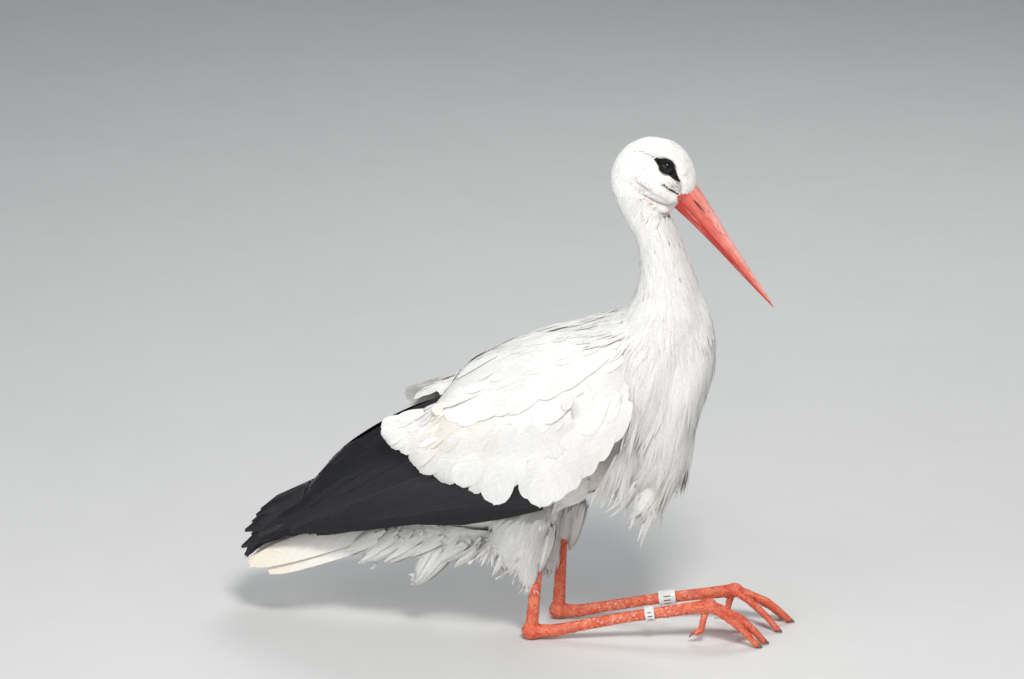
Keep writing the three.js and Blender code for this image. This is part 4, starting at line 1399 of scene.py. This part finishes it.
def make_bill():
    """A ring drawn out along the bill, parted along the gape, with the nostrils cut in."""
    tilt = math.pi / 2 + BILL_DIP
    first = BILL_BASE + BILL_AXIS * BILL_RINGS[0][0] * BILL_LENGTH
    bpy.ops.mesh.primitive_circle_add(vertices=48, radius=1 * MM, fill_type="NGON", location=first, rotation=(0, tilt, 0))
    bill = bpy.context.object
    bill.name = "bill_whole"
    bpy.ops.object.transform_apply(location=True, rotation=True, scale=True)
    bpy.ops.object.mode_set(mode="EDIT")
    bpy.ops.mesh.select_all(action="SELECT")
    for ring, following in zip(BILL_RINGS, BILL_RINGS[1:]):
        step = BILL_AXIS * (following[0] - ring[0]) * BILL_LENGTH
        bpy.ops.mesh.extrude_region_move(TRANSFORM_OT_translate={"value": tuple(step)})
    bpy.ops.object.mode_set(mode="OBJECT")
    places = vertex_places(bill)
    along, up, across = bill_frame(places)
    share = along / BILL_LENGTH
    table = np.array(BILL_RINGS)
    above, below, wide = (np.interp(share, table[:, 0], table[:, i]) for i in (1, 2, 3))
    up, across = up / MM, across / MM
    # Sides a little flattened and the culmen and keel narrower than an ellipse's.
    squeeze = 1 - 0.10 * np.abs(up) ** 2
    across = across * wide * squeeze
    up = np.where(up > 0, up * above, up * below)
    move_vertices(bill, BILL_BASE + along[:, None] * BILL_AXIS + (up * MM)[:, None] * BILL_UP + (across * MM)[:, None] * np.array([0, 1, 0]))
    only(bill)
    bpy.ops.object.mode_set(mode="EDIT")
    bpy.ops.mesh.select_all(action="SELECT")
    bpy.ops.mesh.remove_doubles(threshold=1e-5)
    bpy.ops.mesh.normals_make_consistent(inside=False)
    bpy.ops.object.mode_set(mode="OBJECT")
    apply_modifier(bill, "SUBSURF", levels=2, render_levels=2)
    move_vertices(bill, flared(vertex_places(bill)))
    tip = BILL_BASE + BILL_AXIS * BILL_LENGTH
    root = BILL_BASE - BILL_UP * GAPE_DROP
    gape_way = normalised(tip - root)
    gape_up = np.cross(gape_way, np.array([0, 1.0, 0]))
    gape_up = gape_up * (1 if gape_up @ BILL_UP > 0 else -1)
    halves = {}
    for name, sign in (("bill_upper_horn", 1), ("bill_lower_horn", -1)):
        half = bill.copy()
        half.data = bill.data.copy()
        half.name = name
        bpy.context.scene.collection.objects.link(half)
        only(half)
        bpy.ops.object.mode_set(mode="EDIT")
        bpy.ops.mesh.select_all(action="SELECT")
        cut = root + gape_up * 0.25 * MM * sign
        bpy.ops.mesh.bisect(plane_co=tuple(cut), plane_no=tuple(gape_up * sign), use_fill=True, clear_inner=True)
        bpy.ops.object.mode_set(mode="OBJECT")
        apply_modifier(half, "BEVEL", width=0.5 * MM, segments=3, limit_method="ANGLE", angle_limit=math.radians(50))
        halves[name] = half
    bpy.data.objects.remove(bill)
    upper = halves["bill_upper_horn"]
    for sign in (1, -1):
        place = BILL_BASE + BILL_AXIS * 14.5 * MM + BILL_UP * 7.2 * MM + np.array([0, 10.6 * MM * sign, 0])
        bpy.ops.mesh.primitive_uv_sphere_add(segments=32, ring_count=16, radius=1, location=place, rotation=(0, BILL_DIP, 0),
                                             scale=(10.5 * MM, 2.4 * MM, 1.0 * MM))
        nostril = bpy.context.object
        apply_modifier(upper, "BOOLEAN", operation="DIFFERENCE", object=nostril, solver="EXACT")
        bpy.data.objects.remove(nostril)
    for name, half in halves.items():
        only(half)
        bpy.ops.object.shade_smooth_by_angle(angle=math.radians(40))
        along, up, across = bill_frame(vertex_places(half))
        share = np.clip(along / BILL_LENGTH, 0, 1)
        height = np.interp(share, table[:, 0], table[:, 1]) * MM
        level = up / np.maximum(height, 1e-5)
        colour = np.repeat(BILL_RED[None], len(share), 0)
        # Painted light: the upper side is painted pinker and the culmen pale as if lit from above; the pink towards the
        # tip is the bill's own colour.
        colour = tinted(colour, BILL_PINK_TIP_AND_LIT_TOP, smooth_step(level, -0.45, 0.25) * 0.6)
        colour = tinted(colour, BILL_PINK_TIP_AND_LIT_TOP, smooth_step(share, 0.55, 1.0) * 0.6)
        colour = tinted(colour, BILL_PAINTED_HIGHLIGHT, smooth_step(level, 0.35, 0.9) * (0.35 + 0.35 * smooth_step(share, 0.05, 0.3)))
        # Painted shade inside the nostril slit.
        slit = ((along / MM - 14.5) / 10.3) ** 2 + ((up / MM - 7.2) / 1.15) ** 2
        colour = tinted(colour, NOSTRIL_SHADE_PAINT, (1 - smooth_step(slit, 0.75, 1.15)) * 0.95)
        tint_vertices(half.data, colour)
        finish_piece(half, bill_material_made, "bill", "bill_upper" if "upper" in name else "bill_lower")


eye_material_made = eye_material()
bill_material_made = bill_material()

make_camera()
make_studio()

flesh = swollen_copy("skin", FLESH, 2.6 * MM, 0, 4)
even_form(flesh, 42)
draw_in(flesh, flesh_inset)
finer_head(flesh)
draw_up_plumes(flesh)
unwrap(flesh)
tint_vertices(flesh.data, markings(vertex_places(flesh)))
skin_tree = tree_of(flesh)
flesh_only = flesh.copy()
flesh_only.data = flesh.data.copy()
bpy.context.scene.collection.objects.link(flesh_only)

for side in SIDES:
    eyeball(side)
make_bill()

legs = {}
for side in SIDES:
    leg = swollen_copy(f"leg_{side}", LEG_NODES[side], 1.1 * MM, 0.3 * MM, 2)
    unwrap(leg)
    tint_vertices(leg.data, np.repeat(LEG_RED[None], len(leg.data.vertices), 0))
    legs[side] = leg
leg_grounds = {side: Ground(leg) for side, leg in legs.items()}
lid_rims = [eyelids(side) for side in SIDES]
only(flesh)
for part in [*legs.values(), *lid_rims]:
    part.select_set(True)
bpy.ops.object.join()
unwrap(flesh)
finish_piece(flesh, skin, "feathered_body", *FLESH, *LEG_NODES["left"], *LEG_NODES["right"])

# The lower edge of the wing's point, in the side view.
BLACK_EDGE = [(-372, 62), (-353, 86), (-319, 108), (-269, 121), (-228, 128), (-200, 110)]
vent_form = down_form("vent_down", ["vent_feathers"], 4 * MM, "white_plumage", soft_feathers, 30)
for side, sign in SIDES.items():
    black_nodes = [f"wing_{side}_{part}" for part in FLIGHT_PARTS]
    base = joined_copy(f"flight_base_{side}", black_nodes)
    places = vertex_places(base) - np.array([0, sign * 0.9 * MM, 0])
    low = np.interp((places[:, 0] - BIRD_X) / MM, *zip(*BLACK_EDGE)) * MM
    places[:, 2] = np.maximum(places[:, 2], low)
    move_vertices(base, places)
    unwrap(base)
    tint_vertices(base.data, np.repeat(BLACK_VANE[None], len(base.data.vertices), 0))
    bpy.ops.object.shade_smooth_by_angle(angle=math.radians(50))
    finish_piece(base, black_feathers, "black_plumage", *black_nodes)

white_nodes = [f"wing_{side}_{part}" for side in SIDES for part in ("scapulars", "coverts")]
plumage = swollen_copy("plumage", FLESH + white_nodes + ["breast_plumes"], 2.6 * MM, 0, 6)
even_form(plumage, 30)
draw_up_plumes(plumage)
unwrap(plumage)
body_ground = Ground(plumage)
skin_ground = Ground(flesh_only)
breast_ground = breast_sheet()
wing_grounds = {side: wing_sheet(side) for side in SIDES}
flight_grounds = {side: flight_sheet(side) for side in SIDES}
side_grounds = {side: side_sheet(side) for side in SIDES}


def under_coat(places):
    return flesh_inset(places) * 0.55


# ---------------------------------------------------------------- coats
HAIR = Vane(5, 3, 0.45, 0.5, 1.0)
TINY = Vane(3, 3, 0.5, 0.6, 2.0)
SMALL = Vane(5, 3, 0.6, 0.5, 2.2, blunt=0.25)
MEDIUM = Vane(6, 5, 0.62, 0.5, 2.6, blunt=0.35)
LARGE = Vane(9, 9, 0.66, 0.45, 2.8, blunt=0.35)
LANCE = Vane(8, 3, 0.4, 0.45, 1.2)
QUILL = Vane(14, 7, 0.5, 0.55, 2.4, blunt=0.3)


def black_tint(places):
    return np.repeat(BLACK_VANE[None] * 1.3, len(places), 0)


def blend_by_height(low, high, low_value, high_value):
    return lambda places: low_value + (high_value - low_value) * smooth_step(places[:, 2], low, high)


def on_head(places):
    x = places[:, 0] - BIRD_X
    return (places[:, 2] > 0.522) & ~((x < 0.112) & (places[:, 2] < 0.545))


def in_bill(places):
    """Inside the bill's root, where nothing grows."""
    return within(places, BILL_EDGE + BILL_FRONT)


def head_length(places):
    x = (places[:, 0] - BIRD_X) / MM
    return (4.2 + 6.5 * (1 - smooth_step(x, 85, 150))) * MM


def face_wanted(places):
    tips = places + lie_at(places, BODY_LIE) * head_length(places)[:, None] * 0.8
    off_patch = (eye_patch_gap(places) > 0.0004) & (eye_patch_gap(tips) > 0.0001)
    return on_head(places) & off_patch & (gape_gap(places) > 0.0009) & ~in_bill(places)


head_coat = coat("head_feathers", skin_ground, TINY, face_feathers, 1,
                 lambda places: 0.30 * head_length(places), head_length, lambda places: 0.42 * head_length(places),
                 BODY_LIE, face_wanted, jitter=5, rise=0.05)
finish_piece(head_coat, face_feathers, "feathered_body")


def ragged(places):
    """An uneven amount between -1 and 1, for borders that must not run straight."""
    return np.sin(places[:, 0] * 2100 + places[:, 2] * 900) * np.sin(places[:, 1] * 1900 + places[:, 2] * 700 + 1)


def on_neck(places):
    return ~on_head(places) & (places[:, 2] > 0.402 + 0.02 * ragged(places)) & (places[:, 0] > BIRD_X + 0.06)


neck_coat = coat("neck_feathers", body_ground, HAIR, soft_feathers, 2,
                 blend_by_height(0.42, 0.54, 3.3 * MM, 2.3 * MM), blend_by_height(0.42, 0.54, 30 * MM, 16 * MM),
                 blend_by_height(0.42, 0.54, 4.6 * MM, 3.0 * MM), BODY_LIE, on_neck, jitter=5, rise=0.03,
                 depth=lambda places: flesh_inset(places) * 0.3, camber=0.14, thickness=0.1 * MM,
                 colour=plain_markings)
finish_piece(neck_coat, soft_feathers, "feathered_body")


def on_thigh(places):
    x = (places[:, 0] - BIRD_X) / MM
    loose = (x < -30) & (places[:, 2] < 0.1)
    return (np.abs(places[:, 1]) > 0.018) & (places[:, 2] < 0.175) & (x > -62) & (x < 40) & ~loose


def on_breast(places):
    x = (places[:, 0] - BIRD_X) / MM
    return (x > 62) & (places[:, 2] < 0.44 + 0.025 * ragged(places))


other_coats = [f"wing_{side}_{part}" for side in SIDES for part in ("scapulars", "coverts", *FLIGHT_PARTS)]
other_coats_tree, _ = node_tree([*other_coats, "vent_feathers", "breast_plumes"])


def on_body(places):
    on = ~on_head(places) & ~on_neck(places) & ~on_thigh(places)
    on &= ~on_breast(places) & (places[:, 2] > 0.125)
    room = np.where(places[:, 2] > 0.3, 1.5 * MM, 3.5 * MM)
    on[on] = (nearest(other_coats_tree, places[on])[2] > room[on])
    return on


body_coat = coat("body_feathers", body_ground, SMALL, white_feathers, 3,
                 lambda places: np.full(len(places), 5.6 * MM), lambda places: np.full(len(places), 32 * MM),
                 lambda places: np.full(len(places), 13 * MM), BODY_LIE, on_body, jitter=6, rise=0.03,
                 depth=under_coat, camber=0.06, thickness=0.15 * MM, fray=0.03)
finish_piece(body_coat, white_feathers, "feathered_body")

thigh_coat = coat("thigh_feathers", body_ground, HAIR, soft_feathers, 4,
                  lambda places: np.full(len(places), 2.6 * MM), lambda places: np.full(len(places), 27 * MM),
                  lambda places: np.full(len(places), 3.4 * MM), BODY_LIE, on_thigh, jitter=7, rise=0.045,
                  depth=under_coat, camber=0.12, thickness=0.15 * MM, overhang=0.9)
finish_piece(thigh_coat, soft_feathers, "feathered_body")

plume_coat = coat("breast_plume_coat", breast_ground, LANCE, soft_feathers, 5,
                  blend_by_height(0.2, 0.42, 4.2 * MM, 3.2 * MM),
                  lambda places: np.interp(places[:, 2], [0.2, 0.26, 0.34, 0.43], [0.042, 0.072, 0.07, 0.034]),
                  blend_by_height(0.3, 0.43, 6.5 * MM, 3.6 * MM),
                  BODY_LIE, on_breast, jitter=4, rise=0.02, droop=0.04, depth=under_coat, locks=(15 * MM, 0.55),
                  camber=0.15, thickness=0.2 * MM, overhang=1.0)
finish_piece(plume_coat, soft_feathers, "white_plumage", "breast_plumes")

vent_ground = Ground(vent_form)
vent_coat = coat("vent_coat", vent_ground, LANCE, soft_feathers, 6,
                 lambda places: np.full(len(places), 3.8 * MM),
                 lambda places: np.full(len(places), 30 * MM), lambda places: np.full(len(places), 7 * MM),
                 BODY_LIE, jitter=8, rise=0.02, camber=0.08, thickness=0.12 * MM, fray=0.04, end_face=0.7)
finish_piece(vent_coat, soft_feathers, "white_plumage")

# Locks of soft feathers under the tail: root x, z, y, tip x, z, y, reach and count; the same on both sides.
VENT_LOCKS = [
    (-184, 124, 32, -246, 86, 38, 14, 130),
    (-160, 126, 36, -222, 79, 40, 16, 140),
    (-136, 128, 38, -190, 84, 42, 17, 150),
    (-106, 130, 38, -162, 94, 44, 16, 130),
    (-114, 118, 32, -153, 56, 36, 21, 260),
    (-82, 128, 38, -128, 90, 44, 16, 130),
    (-66, 126, 36, -106, 84, 40, 12, 90),
    (-150, 116, 0, -200, 76, 0, 22, 90),
    (-190, 112, 0, -240, 80, 0, 22, 90),
    (-110, 112, 0, -152, 70, 0, 22, 90),
]
# Loose plumes round the shins' tops and behind the thighs.
THIGH_LOCKS = [
    (9, 150, -38, -3, 84, -36, 12, 330),
    (-4, 146, -36, -12, 82, -34, 12, 300),
    (31, 150, 42, 18, 82, 42, 12, 330),
    (18, 148, 40, 7, 78, 38, 12, 300),
    (-52, 122, -44, -84, 92, -42, 5, 60),
    (-36, 124, -48, -58, 78, -46, 6, 90),
    (-22, 122, -48, -34, 84, -46, 8, 90),
    (-36, 122, 46, -66, 92, 44, 5, 60),
    (-20, 124, 48, -42, 78, 46, 6, 90),
]


def mirrored(locks):
    """The locks of both sides."""
    right = [(x, z, -y, tip_x, tip_z, -tip_y, *rest) for x, z, y, tip_x, tip_z, tip_y, *rest in locks if y]
    return locks + right


vent_locks = bundles("vent_locks", vent_ground, LANCE, soft_feathers, 61, mirrored(VENT_LOCKS), 6.5,
                     camber=0.1, thickness=0.1 * MM, fray=0.02)
finish_piece(vent_locks, soft_feathers, "white_plumage")
thigh_locks = bundles("thigh_locks", skin_ground, HAIR, soft_feathers, 62, THIGH_LOCKS, 2.6,
                      camber=0.1, thickness=0.1 * MM, fray=0.02)
finish_piece(thigh_locks, soft_feathers, "feathered_body")

TAIL_FEATHERS = 12
TAIL_TIP_COLOUR = np.array([0.80, 0.72, 0.58])
# Root x, y, z, tip x, y, z and how far each feather is turned to face sideways, from the middle pair outwards.
TAIL_PLACES = [
    (-196, 3, 131, -353, 5, 76, 0.10, 26),
    (-196, 8, 129, -354, 14, 74, 0.25, 26),
    (-196, 15, 128, -355, 23, 72, 0.50, 27),
    (-196, 22, 127, -356, 32, 71, 0.90, 28),
    (-196, 30, 124, -355, 41, 69, 1.60, 31),
    (-192, 32, 112, -330, 44, 62, 1.90, 24),
]


def make_tail():
    """White tail feathers, folded like a roof, the middle pair on top and the outer ones steeper."""
    dice = np.random.default_rng(40)
    spines, ups, widths = [], [], []
    for sign in (1, -1):
        for root_x, root_y, root_z, tip_x, tip_y, tip_z, side_turn, width in TAIL_PLACES:
            root = spot(root_x, root_z, root_y * sign)
            tip = spot(tip_x, tip_z, tip_y * sign)
            sag = np.sin(STATIONS * math.pi)[:, None] * np.array([0, sign * 2.0, 4.0]) * MM
            widths.append(width * MM)
            spines.append(root + (tip - root) * STATIONS[:, None] + sag)
            ups.append(np.array([-0.3, sign * side_turn, 1.0]))
    spine = np.array(spines)
    skyward = np.repeat(normalised(np.array(ups))[:, None], 4, 1)
    white = np.repeat(WHITE[None], TAIL_FEATHERS, 0)
    return grow("tail_feathers", QUILL, spine, skyward, np.array(widths), vent_ground.flat_near(spine[:, 0]), white,
                white_feathers, dice, camber=0.1, thickness=0.4 * MM, fray=0.003, tip_colour=TAIL_TIP_COLOUR)


finish_piece(make_tail(), white_feathers, "white_plumage", "tail")

# The lower and rear edge of the white of a folded wing, in the side view.
WHITE_EDGE = [(-300, 420), (-205, 290), (-192, 268), (-186, 251), (-145, 232), (-110, 213), (-87, 210), (-48, 197),
              (-28, 212), (-18, 214), (7, 195), (32, 210), (58, 237), (78, 263), (96, 290), (112, 330), (125, 420)]
# Tip x, z, direction, length and width of the greater coverts, from the rear forwards.
GREATER_COVERTS = [
    (-188, 260, 203, 38, 22),
    (-187, 252, 207, 46, 26),
    (-179, 244, 212, 54, 22),
    (-163, 243, 216, 58, 22),
    (-150, 232, 221, 62, 28),
    (-136, 221, 226, 62, 30),
    (-114, 212, 231, 66, 34),
    (-100, 215, 235, 62, 24),
    (-87, 209, 239, 66, 32),
    (-70, 205, 242, 62, 24),
    (-49, 196, 246, 70, 38),
    (-36, 203, 249, 60, 24),
    (-22, 217, 251, 50, 22),
    (-6, 203, 253, 62, 26),
    (8, 194, 254, 68, 36),
    (24, 203, 253, 62, 28),
    (40, 217, 250, 60, 28),
    (56, 234, 248, 60, 28),
    (72, 254, 246, 56, 26),
    (86, 274, 244, 52, 24),
]
MEDIAN_COVERTS = [
    (-166, 268, 207, 36, 22),
    (-150, 262, 211, 46, 24),
    (-132, 256, 216, 46, 24),
    (-114, 252, 222, 46, 25),
    (-96, 249, 228, 46, 25),
    (-78, 247, 233, 46, 26),
    (-58, 245, 238, 46, 26),
    (-38, 246, 243, 46, 26),
    (-18, 249, 247, 46, 26),
    (2, 250, 249, 46, 26),
    (22, 256, 249, 44, 25),
    (42, 266, 248, 44, 24),
    (60, 281, 246, 42, 23),
    (76, 300, 244, 40, 22),
]
SCAPULAR_LOBES = [
    (-108, 326, 204, 60, 24),
    (-114, 312, 206, 66, 26),
    (-112, 298, 208, 66, 26),
    (-102, 287, 211, 66, 26),
    (-86, 286, 213, 64, 24),
    (-66, 294, 214, 62, 24),
    (-45, 299, 216, 60, 24),
    (-27, 302, 218, 58, 24),
    (-8, 310, 220, 56, 22),
    (12, 317, 222, 54, 22),
    (32, 326, 225, 50, 22),
    (52, 338, 228, 46, 20),
]
# Black feathers of the folded wing, from the lower edge to the upper: root x, z, tip x, z and width.
PRIMARIES = [
    (-214, 141, -371, 66, 20, 16),
    (-213, 152, -370, 74, 20, 14),
    (-212, 163, -368, 84, 20, 12),
    (-211, 174, -365, 95, 20, 9),
    (-209, 185, -360, 107, 20, 6),
    (-206, 196, -352, 118, 20, 3),
    (-202, 208, -340, 129, 20, 0),
    (-197, 219, -322, 141, 20, -3),
]
SECONDARIES = [
    (10, 196, -120, 158, 15),
    (6, 198, -150, 156, 16),
    (0, 202, -180, 149, 16),
    (-10, 205, -205, 142, 17),
    (-22, 208, -232, 136, 18),
    (-36, 210, -256, 132, 19),
    (-50, 214, -278, 128, 20),
    (-64, 218, -294, 126, 22),
    (-80, 223, -304, 128, 24),
    (-96, 229, -310, 134, 26),
]
TERTIALS = [
    (-84, 236, -268, 148, 28),
    (-98, 246, -286, 150, 30),
    (-112, 256, -296, 153, 30),
    (-124, 262, -290, 162, 30),
    (-132, 268, -276, 176, 30),
    (-140, 272, -254, 194, 28),
]


def edge_gap(x, z):
    """Millimetres above the white's edge, in the side view."""
    edge = np.array(WHITE_EDGE, float)
    return z - np.interp(x, edge[:, 0], edge[:, 1])


def keeps_inside(length, margin):
    """Roots on the wing whose feathers end inside the white by a margin."""
    def wanted(places):
        tips = places + lie_at(places, WING_LIE) * np.reshape(length(places), (-1, 1))
        x = (tips[:, 0] - BIRD_X) / MM
        return edge_gap(x, tips[:, 2] / MM) > margin
    return wanted


wing_length = blend_by_height(0.24, 0.36, 30 * MM, 32 * MM)
for side, sign in SIDES.items():
    wing_ground = wing_grounds[side]
    wing_coat = coat(f"wing_coat_{side}", wing_ground, MEDIUM, white_feathers, 10 + sign,
                     lambda places: np.full(len(places), 6.2 * MM), wing_length,
                     blend_by_height(0.24, 0.36, 18 * MM, 17 * MM), WING_LIE, keeps_inside(wing_length, 20),
                     jitter=4, rise=0.008, depth=under_coat, camber=0.05, thickness=0.08 * MM, fray=0.03,
                     turn=75, hold=0.9)
    finish_piece(wing_coat, white_feathers, "white_plumage", f"wing_{side}_scapulars", f"wing_{side}_coverts")
    side_ground = side_grounds[side]
    for title, ground, table, low, seed in (
        ("greater_coverts", side_ground, GREATER_COVERTS, 1.3, 20),
        ("median_coverts", side_ground, MEDIAN_COVERTS, 0.9, 21),
        ("scapulars", wing_ground, SCAPULAR_LOBES, 0.7, 22),
    ):
        rows = aimed(table)
        row = row_of_feathers(f"{title}_{side}", ground, sign, LARGE, white_feathers, seed, rows, len(rows),
                              lie=0.004, lift=0.05, sink=low * MM, camber=0.04, thickness=0.12 * MM, fray=0.02,
                              jitter=1.0, turn=75, hold=0.9)
        finish_piece(row, white_feathers, "white_plumage")
    for title, table, count, seed in (("primaries", PRIMARIES, 10, 31), ("secondaries", SECONDARIES, 18, 32),
                                      ("tertials", TERTIALS, 8, 33)):
        row = row_of_feathers(f"{title}_{side}", flight_grounds[side], sign, QUILL, black_feathers, seed, table, count,
                              lie=0.004, lift=0.16, colour=black_tint, camber=0.06, thickness=0.3 * MM, fray=0.004,
                              jitter=0.8, sink=0.2 * MM, hold=0.6)
        finish_piece(row, black_feathers, "black_plumage")

for guide_form in (plumage, flesh_only):
    bpy.data.objects.remove(guide_form)
# ---------------------------------------------------------------- legs
SCALE = Vane(3, 3, 0.5, 0.8, 2.4, blunt=0.5)
CLAW_SIDES = 14
CLAW_STEPS = 6


def node_corners(node):
    return np.array([vertex.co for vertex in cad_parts[node].data.vertices])


def leg_axis(node, side):
    """Which way a part of the leg runs, towards the toes' tips."""
    foot = np.array(middle(f"foot_{side}"))
    hock = np.array(middle(f"hock_{side}"))
    if node.startswith(("hock", "foot", "tarsus")):
        return normalised(foot - hock)
    corners = node_corners(node)
    axis = np.linalg.svd(corners - corners.mean(0))[2][0]
    onward = np.array([0, 0, -1.0]) if node.startswith("tibia") else corners.mean(0) - foot
    return axis * (1 if axis @ onward > 0 else -1)


def leg_colours(places):
    """Orange-red, with pale worn flakes along the middle of the shin and on the knuckles."""
    x, y, z = (places / MM).T
    flakes = np.sin(x * 0.9 + 2 * np.sin(z * 0.7)) * np.sin(z * 1.3 + y * 0.8 + 1.5 * np.sin(x * 0.23))
    mid = smooth_step(x, 60, 100) * (1 - smooth_step(x, 190, 225))
    colour = np.repeat(LEG_RED[None], len(places), 0)
    colour = tinted(colour, LEG_ORANGE, smooth_step(np.sin(x * 0.11 + z * 0.2), -0.4, 0.9) * 0.5)
    return tinted(colour, LEG_PALE, smooth_step(flakes, 0.3, 0.85) * (0.12 + 0.6 * mid))


LEG_ORANGE = np.array([0.74, 0.17, 0.06])
LEG_PALE = np.array([0.78, 0.40, 0.29])


def leg_scales(side, ground):
    """Small plates over shin, shank and toes."""
    dice = np.random.default_rng(70 + SIDES[side])
    nodes = LEG_NODES[side]
    tree, owner = node_tree(nodes)
    spacing = lambda places: np.where(places[:, 0] > middle(f"foot_{side}").x - 0.004, 1.75, 2.15) * MM
    roots, ups, flat = ground.scatter(spacing, 71, lambda places: places[:, 2] > 0.0012)
    of = owner[[tree.find_nearest(Vector(root))[2] for root in roots]]
    axes = np.array([leg_axis(node, side) for node in nodes])
    ways = along_surface(axes[of], ups)
    size = spacing(roots) * 1.75
    spine, skyward = lay(ground.tree, roots, ups, ways, size, rise=0.07, sink=0.12 * MM, turn=60, hold=0.8)
    colours = leg_colours(roots) * (1 + dice.normal(0, 0.10, (len(roots), 1)))
    return grow(f"leg_scales_{side}", SCALE, spine, skyward, size * 0.98, flat, np.clip(colours, 0, 0.92),
                leg_scales_made, dice, camber=0.24, thickness=0.12 * MM)


def make_claws():
    """Curved claws, each a ring drawn out and bent between its solid's root and tip."""
    claws = []
    for side in SIDES:
        for toe in TOE_NAMES:
            corners = node_corners(f"claw_{toe}_{side}")
            way = leg_axis(f"toe_{toe}_{side}", side)
            reach = corners @ way
            tip = corners[reach.argmax()]
            back = corners[reach < np.quantile(reach, 0.35)]
            root = back.mean(0) - way * 1.2 * MM
            radius = np.linalg.norm(back - back.mean(0), axis=1).max()
            bpy.ops.mesh.primitive_circle_add(vertices=CLAW_SIDES, radius=1, fill_type="NGON")
            claw = bpy.context.object
            claw.name = f"claw_{toe}_{side}_horn"
            bpy.ops.object.mode_set(mode="EDIT")
            bpy.ops.mesh.select_all(action="SELECT")
            for _ in range(CLAW_STEPS):
                bpy.ops.mesh.extrude_region_move(TRANSFORM_OT_translate={"value": (0, 0, 1)})
            bpy.ops.object.mode_set(mode="OBJECT")
            local = vertex_places(claw)
            t = local[:, 2] / CLAW_STEPS
            across = normalised(np.cross(way, np.array([0, 0, 1.0])))
            above = np.cross(across, way)
            thick = radius * (1 - t**1.5 * 0.9)
            line = root + (tip - root) * t[:, None] + above * (np.sin(t * math.pi) * 0.9 * MM)[:, None]
            places = line + across * (local[:, 0] * thick * 0.8)[:, None] + above * (local[:, 1] * thick)[:, None]
            places[:, 2] = np.maximum(places[:, 2], 0.15 * MM)
            move_vertices(claw, places)
            bpy.ops.object.mode_set(mode="EDIT")
            bpy.ops.mesh.select_all(action="SELECT")
            bpy.ops.mesh.normals_make_consistent(inside=False)
            bpy.ops.object.mode_set(mode="OBJECT")
            apply_modifier(claw, "SUBSURF", levels=1, render_levels=1)
            bpy.ops.object.shade_smooth()
            claws.append(claw)
    only(claws[0])
    for claw in claws:
        claw.select_set(True)
    bpy.ops.object.join()
    claws[0].name = "claws"
    finish_piece(claws[0], claw_material(), "claw", *[f"claw_{toe}_{side}" for side in SIDES for toe in TOE_NAMES])


BAND_OUTER = 9.1 * MM
BAND_WALL = 1.2 * MM
BAND_WHITE = np.array([0.72, 0.72, 0.70])
BAND_MARK = np.array([0.04, 0.04, 0.045])


def make_band(side, marks):
    """A plain plastic ring with a row of short bars in place of lettering."""
    foot, hock = np.array(middle(f"foot_{side}")), np.array(middle(f"hock_{side}"))
    along = normalised(foot - hock)
    reach = (node_corners(f"leg_band_{side}") - hock) @ along
    start, length = hock + along * reach.min(), reach.max() - reach.min()
    turn = Vector(along).to_track_quat("Z", "Y").to_euler()
    bpy.ops.mesh.primitive_cylinder_add(vertices=72, radius=BAND_OUTER, depth=length, end_fill_type="NOTHING",
                                        location=start + along * length / 2, rotation=turn)
    band = bpy.context.object
    band.name = f"ring_{side}"
    bpy.ops.object.transform_apply(location=True, rotation=True, scale=True)
    apply_modifier(band, "SOLIDIFY", thickness=BAND_WALL, offset=-1)
    apply_modifier(band, "BEVEL", width=0.3 * MM, segments=3, limit_method="ANGLE", angle_limit=math.radians(50))
    tint_vertices(band.data, np.repeat(BAND_WHITE[None], len(band.data.vertices), 0))
    pieces = [band]
    across = normalised(np.cross(along, np.array([0, 0, 1.0])))
    above = np.cross(across, along)
    for number in range(marks * 2):
        angle = math.radians(-30 + 60 * (number // 2) / max(marks - 1, 1)) + math.pi * (number % 2)
        out = across * math.cos(angle) + above * math.sin(angle)
        place = start + along * length / 2 + out * BAND_OUTER
        bpy.ops.mesh.primitive_cube_add(size=1, location=(0, 0, 0))
        bar = bpy.context.object
        gap = vertex_places(bar)
        sideways = np.cross(along, out)
        wide = gap[:, 0] * 1.4 * MM
        high = gap[:, 1] * length * 0.42
        deep = gap[:, 2] * 0.16 * MM
        move_vertices(bar, place + wide[:, None] * sideways + high[:, None] * along + deep[:, None] * out)
        tint_vertices(bar.data, np.repeat(BAND_MARK[None], len(bar.data.vertices), 0))
        pieces.append(bar)
    only(band)
    for piece in pieces:
        piece.select_set(True)
    bpy.ops.object.join()
    bpy.ops.object.shade_smooth_by_angle(angle=math.radians(40))
    finish_piece(band, bands_made, "leg_band", f"leg_band_{side}")


leg_scales_made = leg_scale_material()
bands_made = band_material()
for side in SIDES:
    scales = leg_scales(side, leg_grounds[side])
    finish_piece(scales, leg_scales_made, "leg_skin")
    make_band(side, 3)
make_claws()

floor_low = -0.0005
bpy.ops.mesh.primitive_plane_add(size=14, location=(0, 2, floor_low))
floor = bpy.context.object
floor.name = "floor"
bpy.ops.object.transform_apply(location=True, rotation=True, scale=True)
floor.data.materials.append(floor_material())
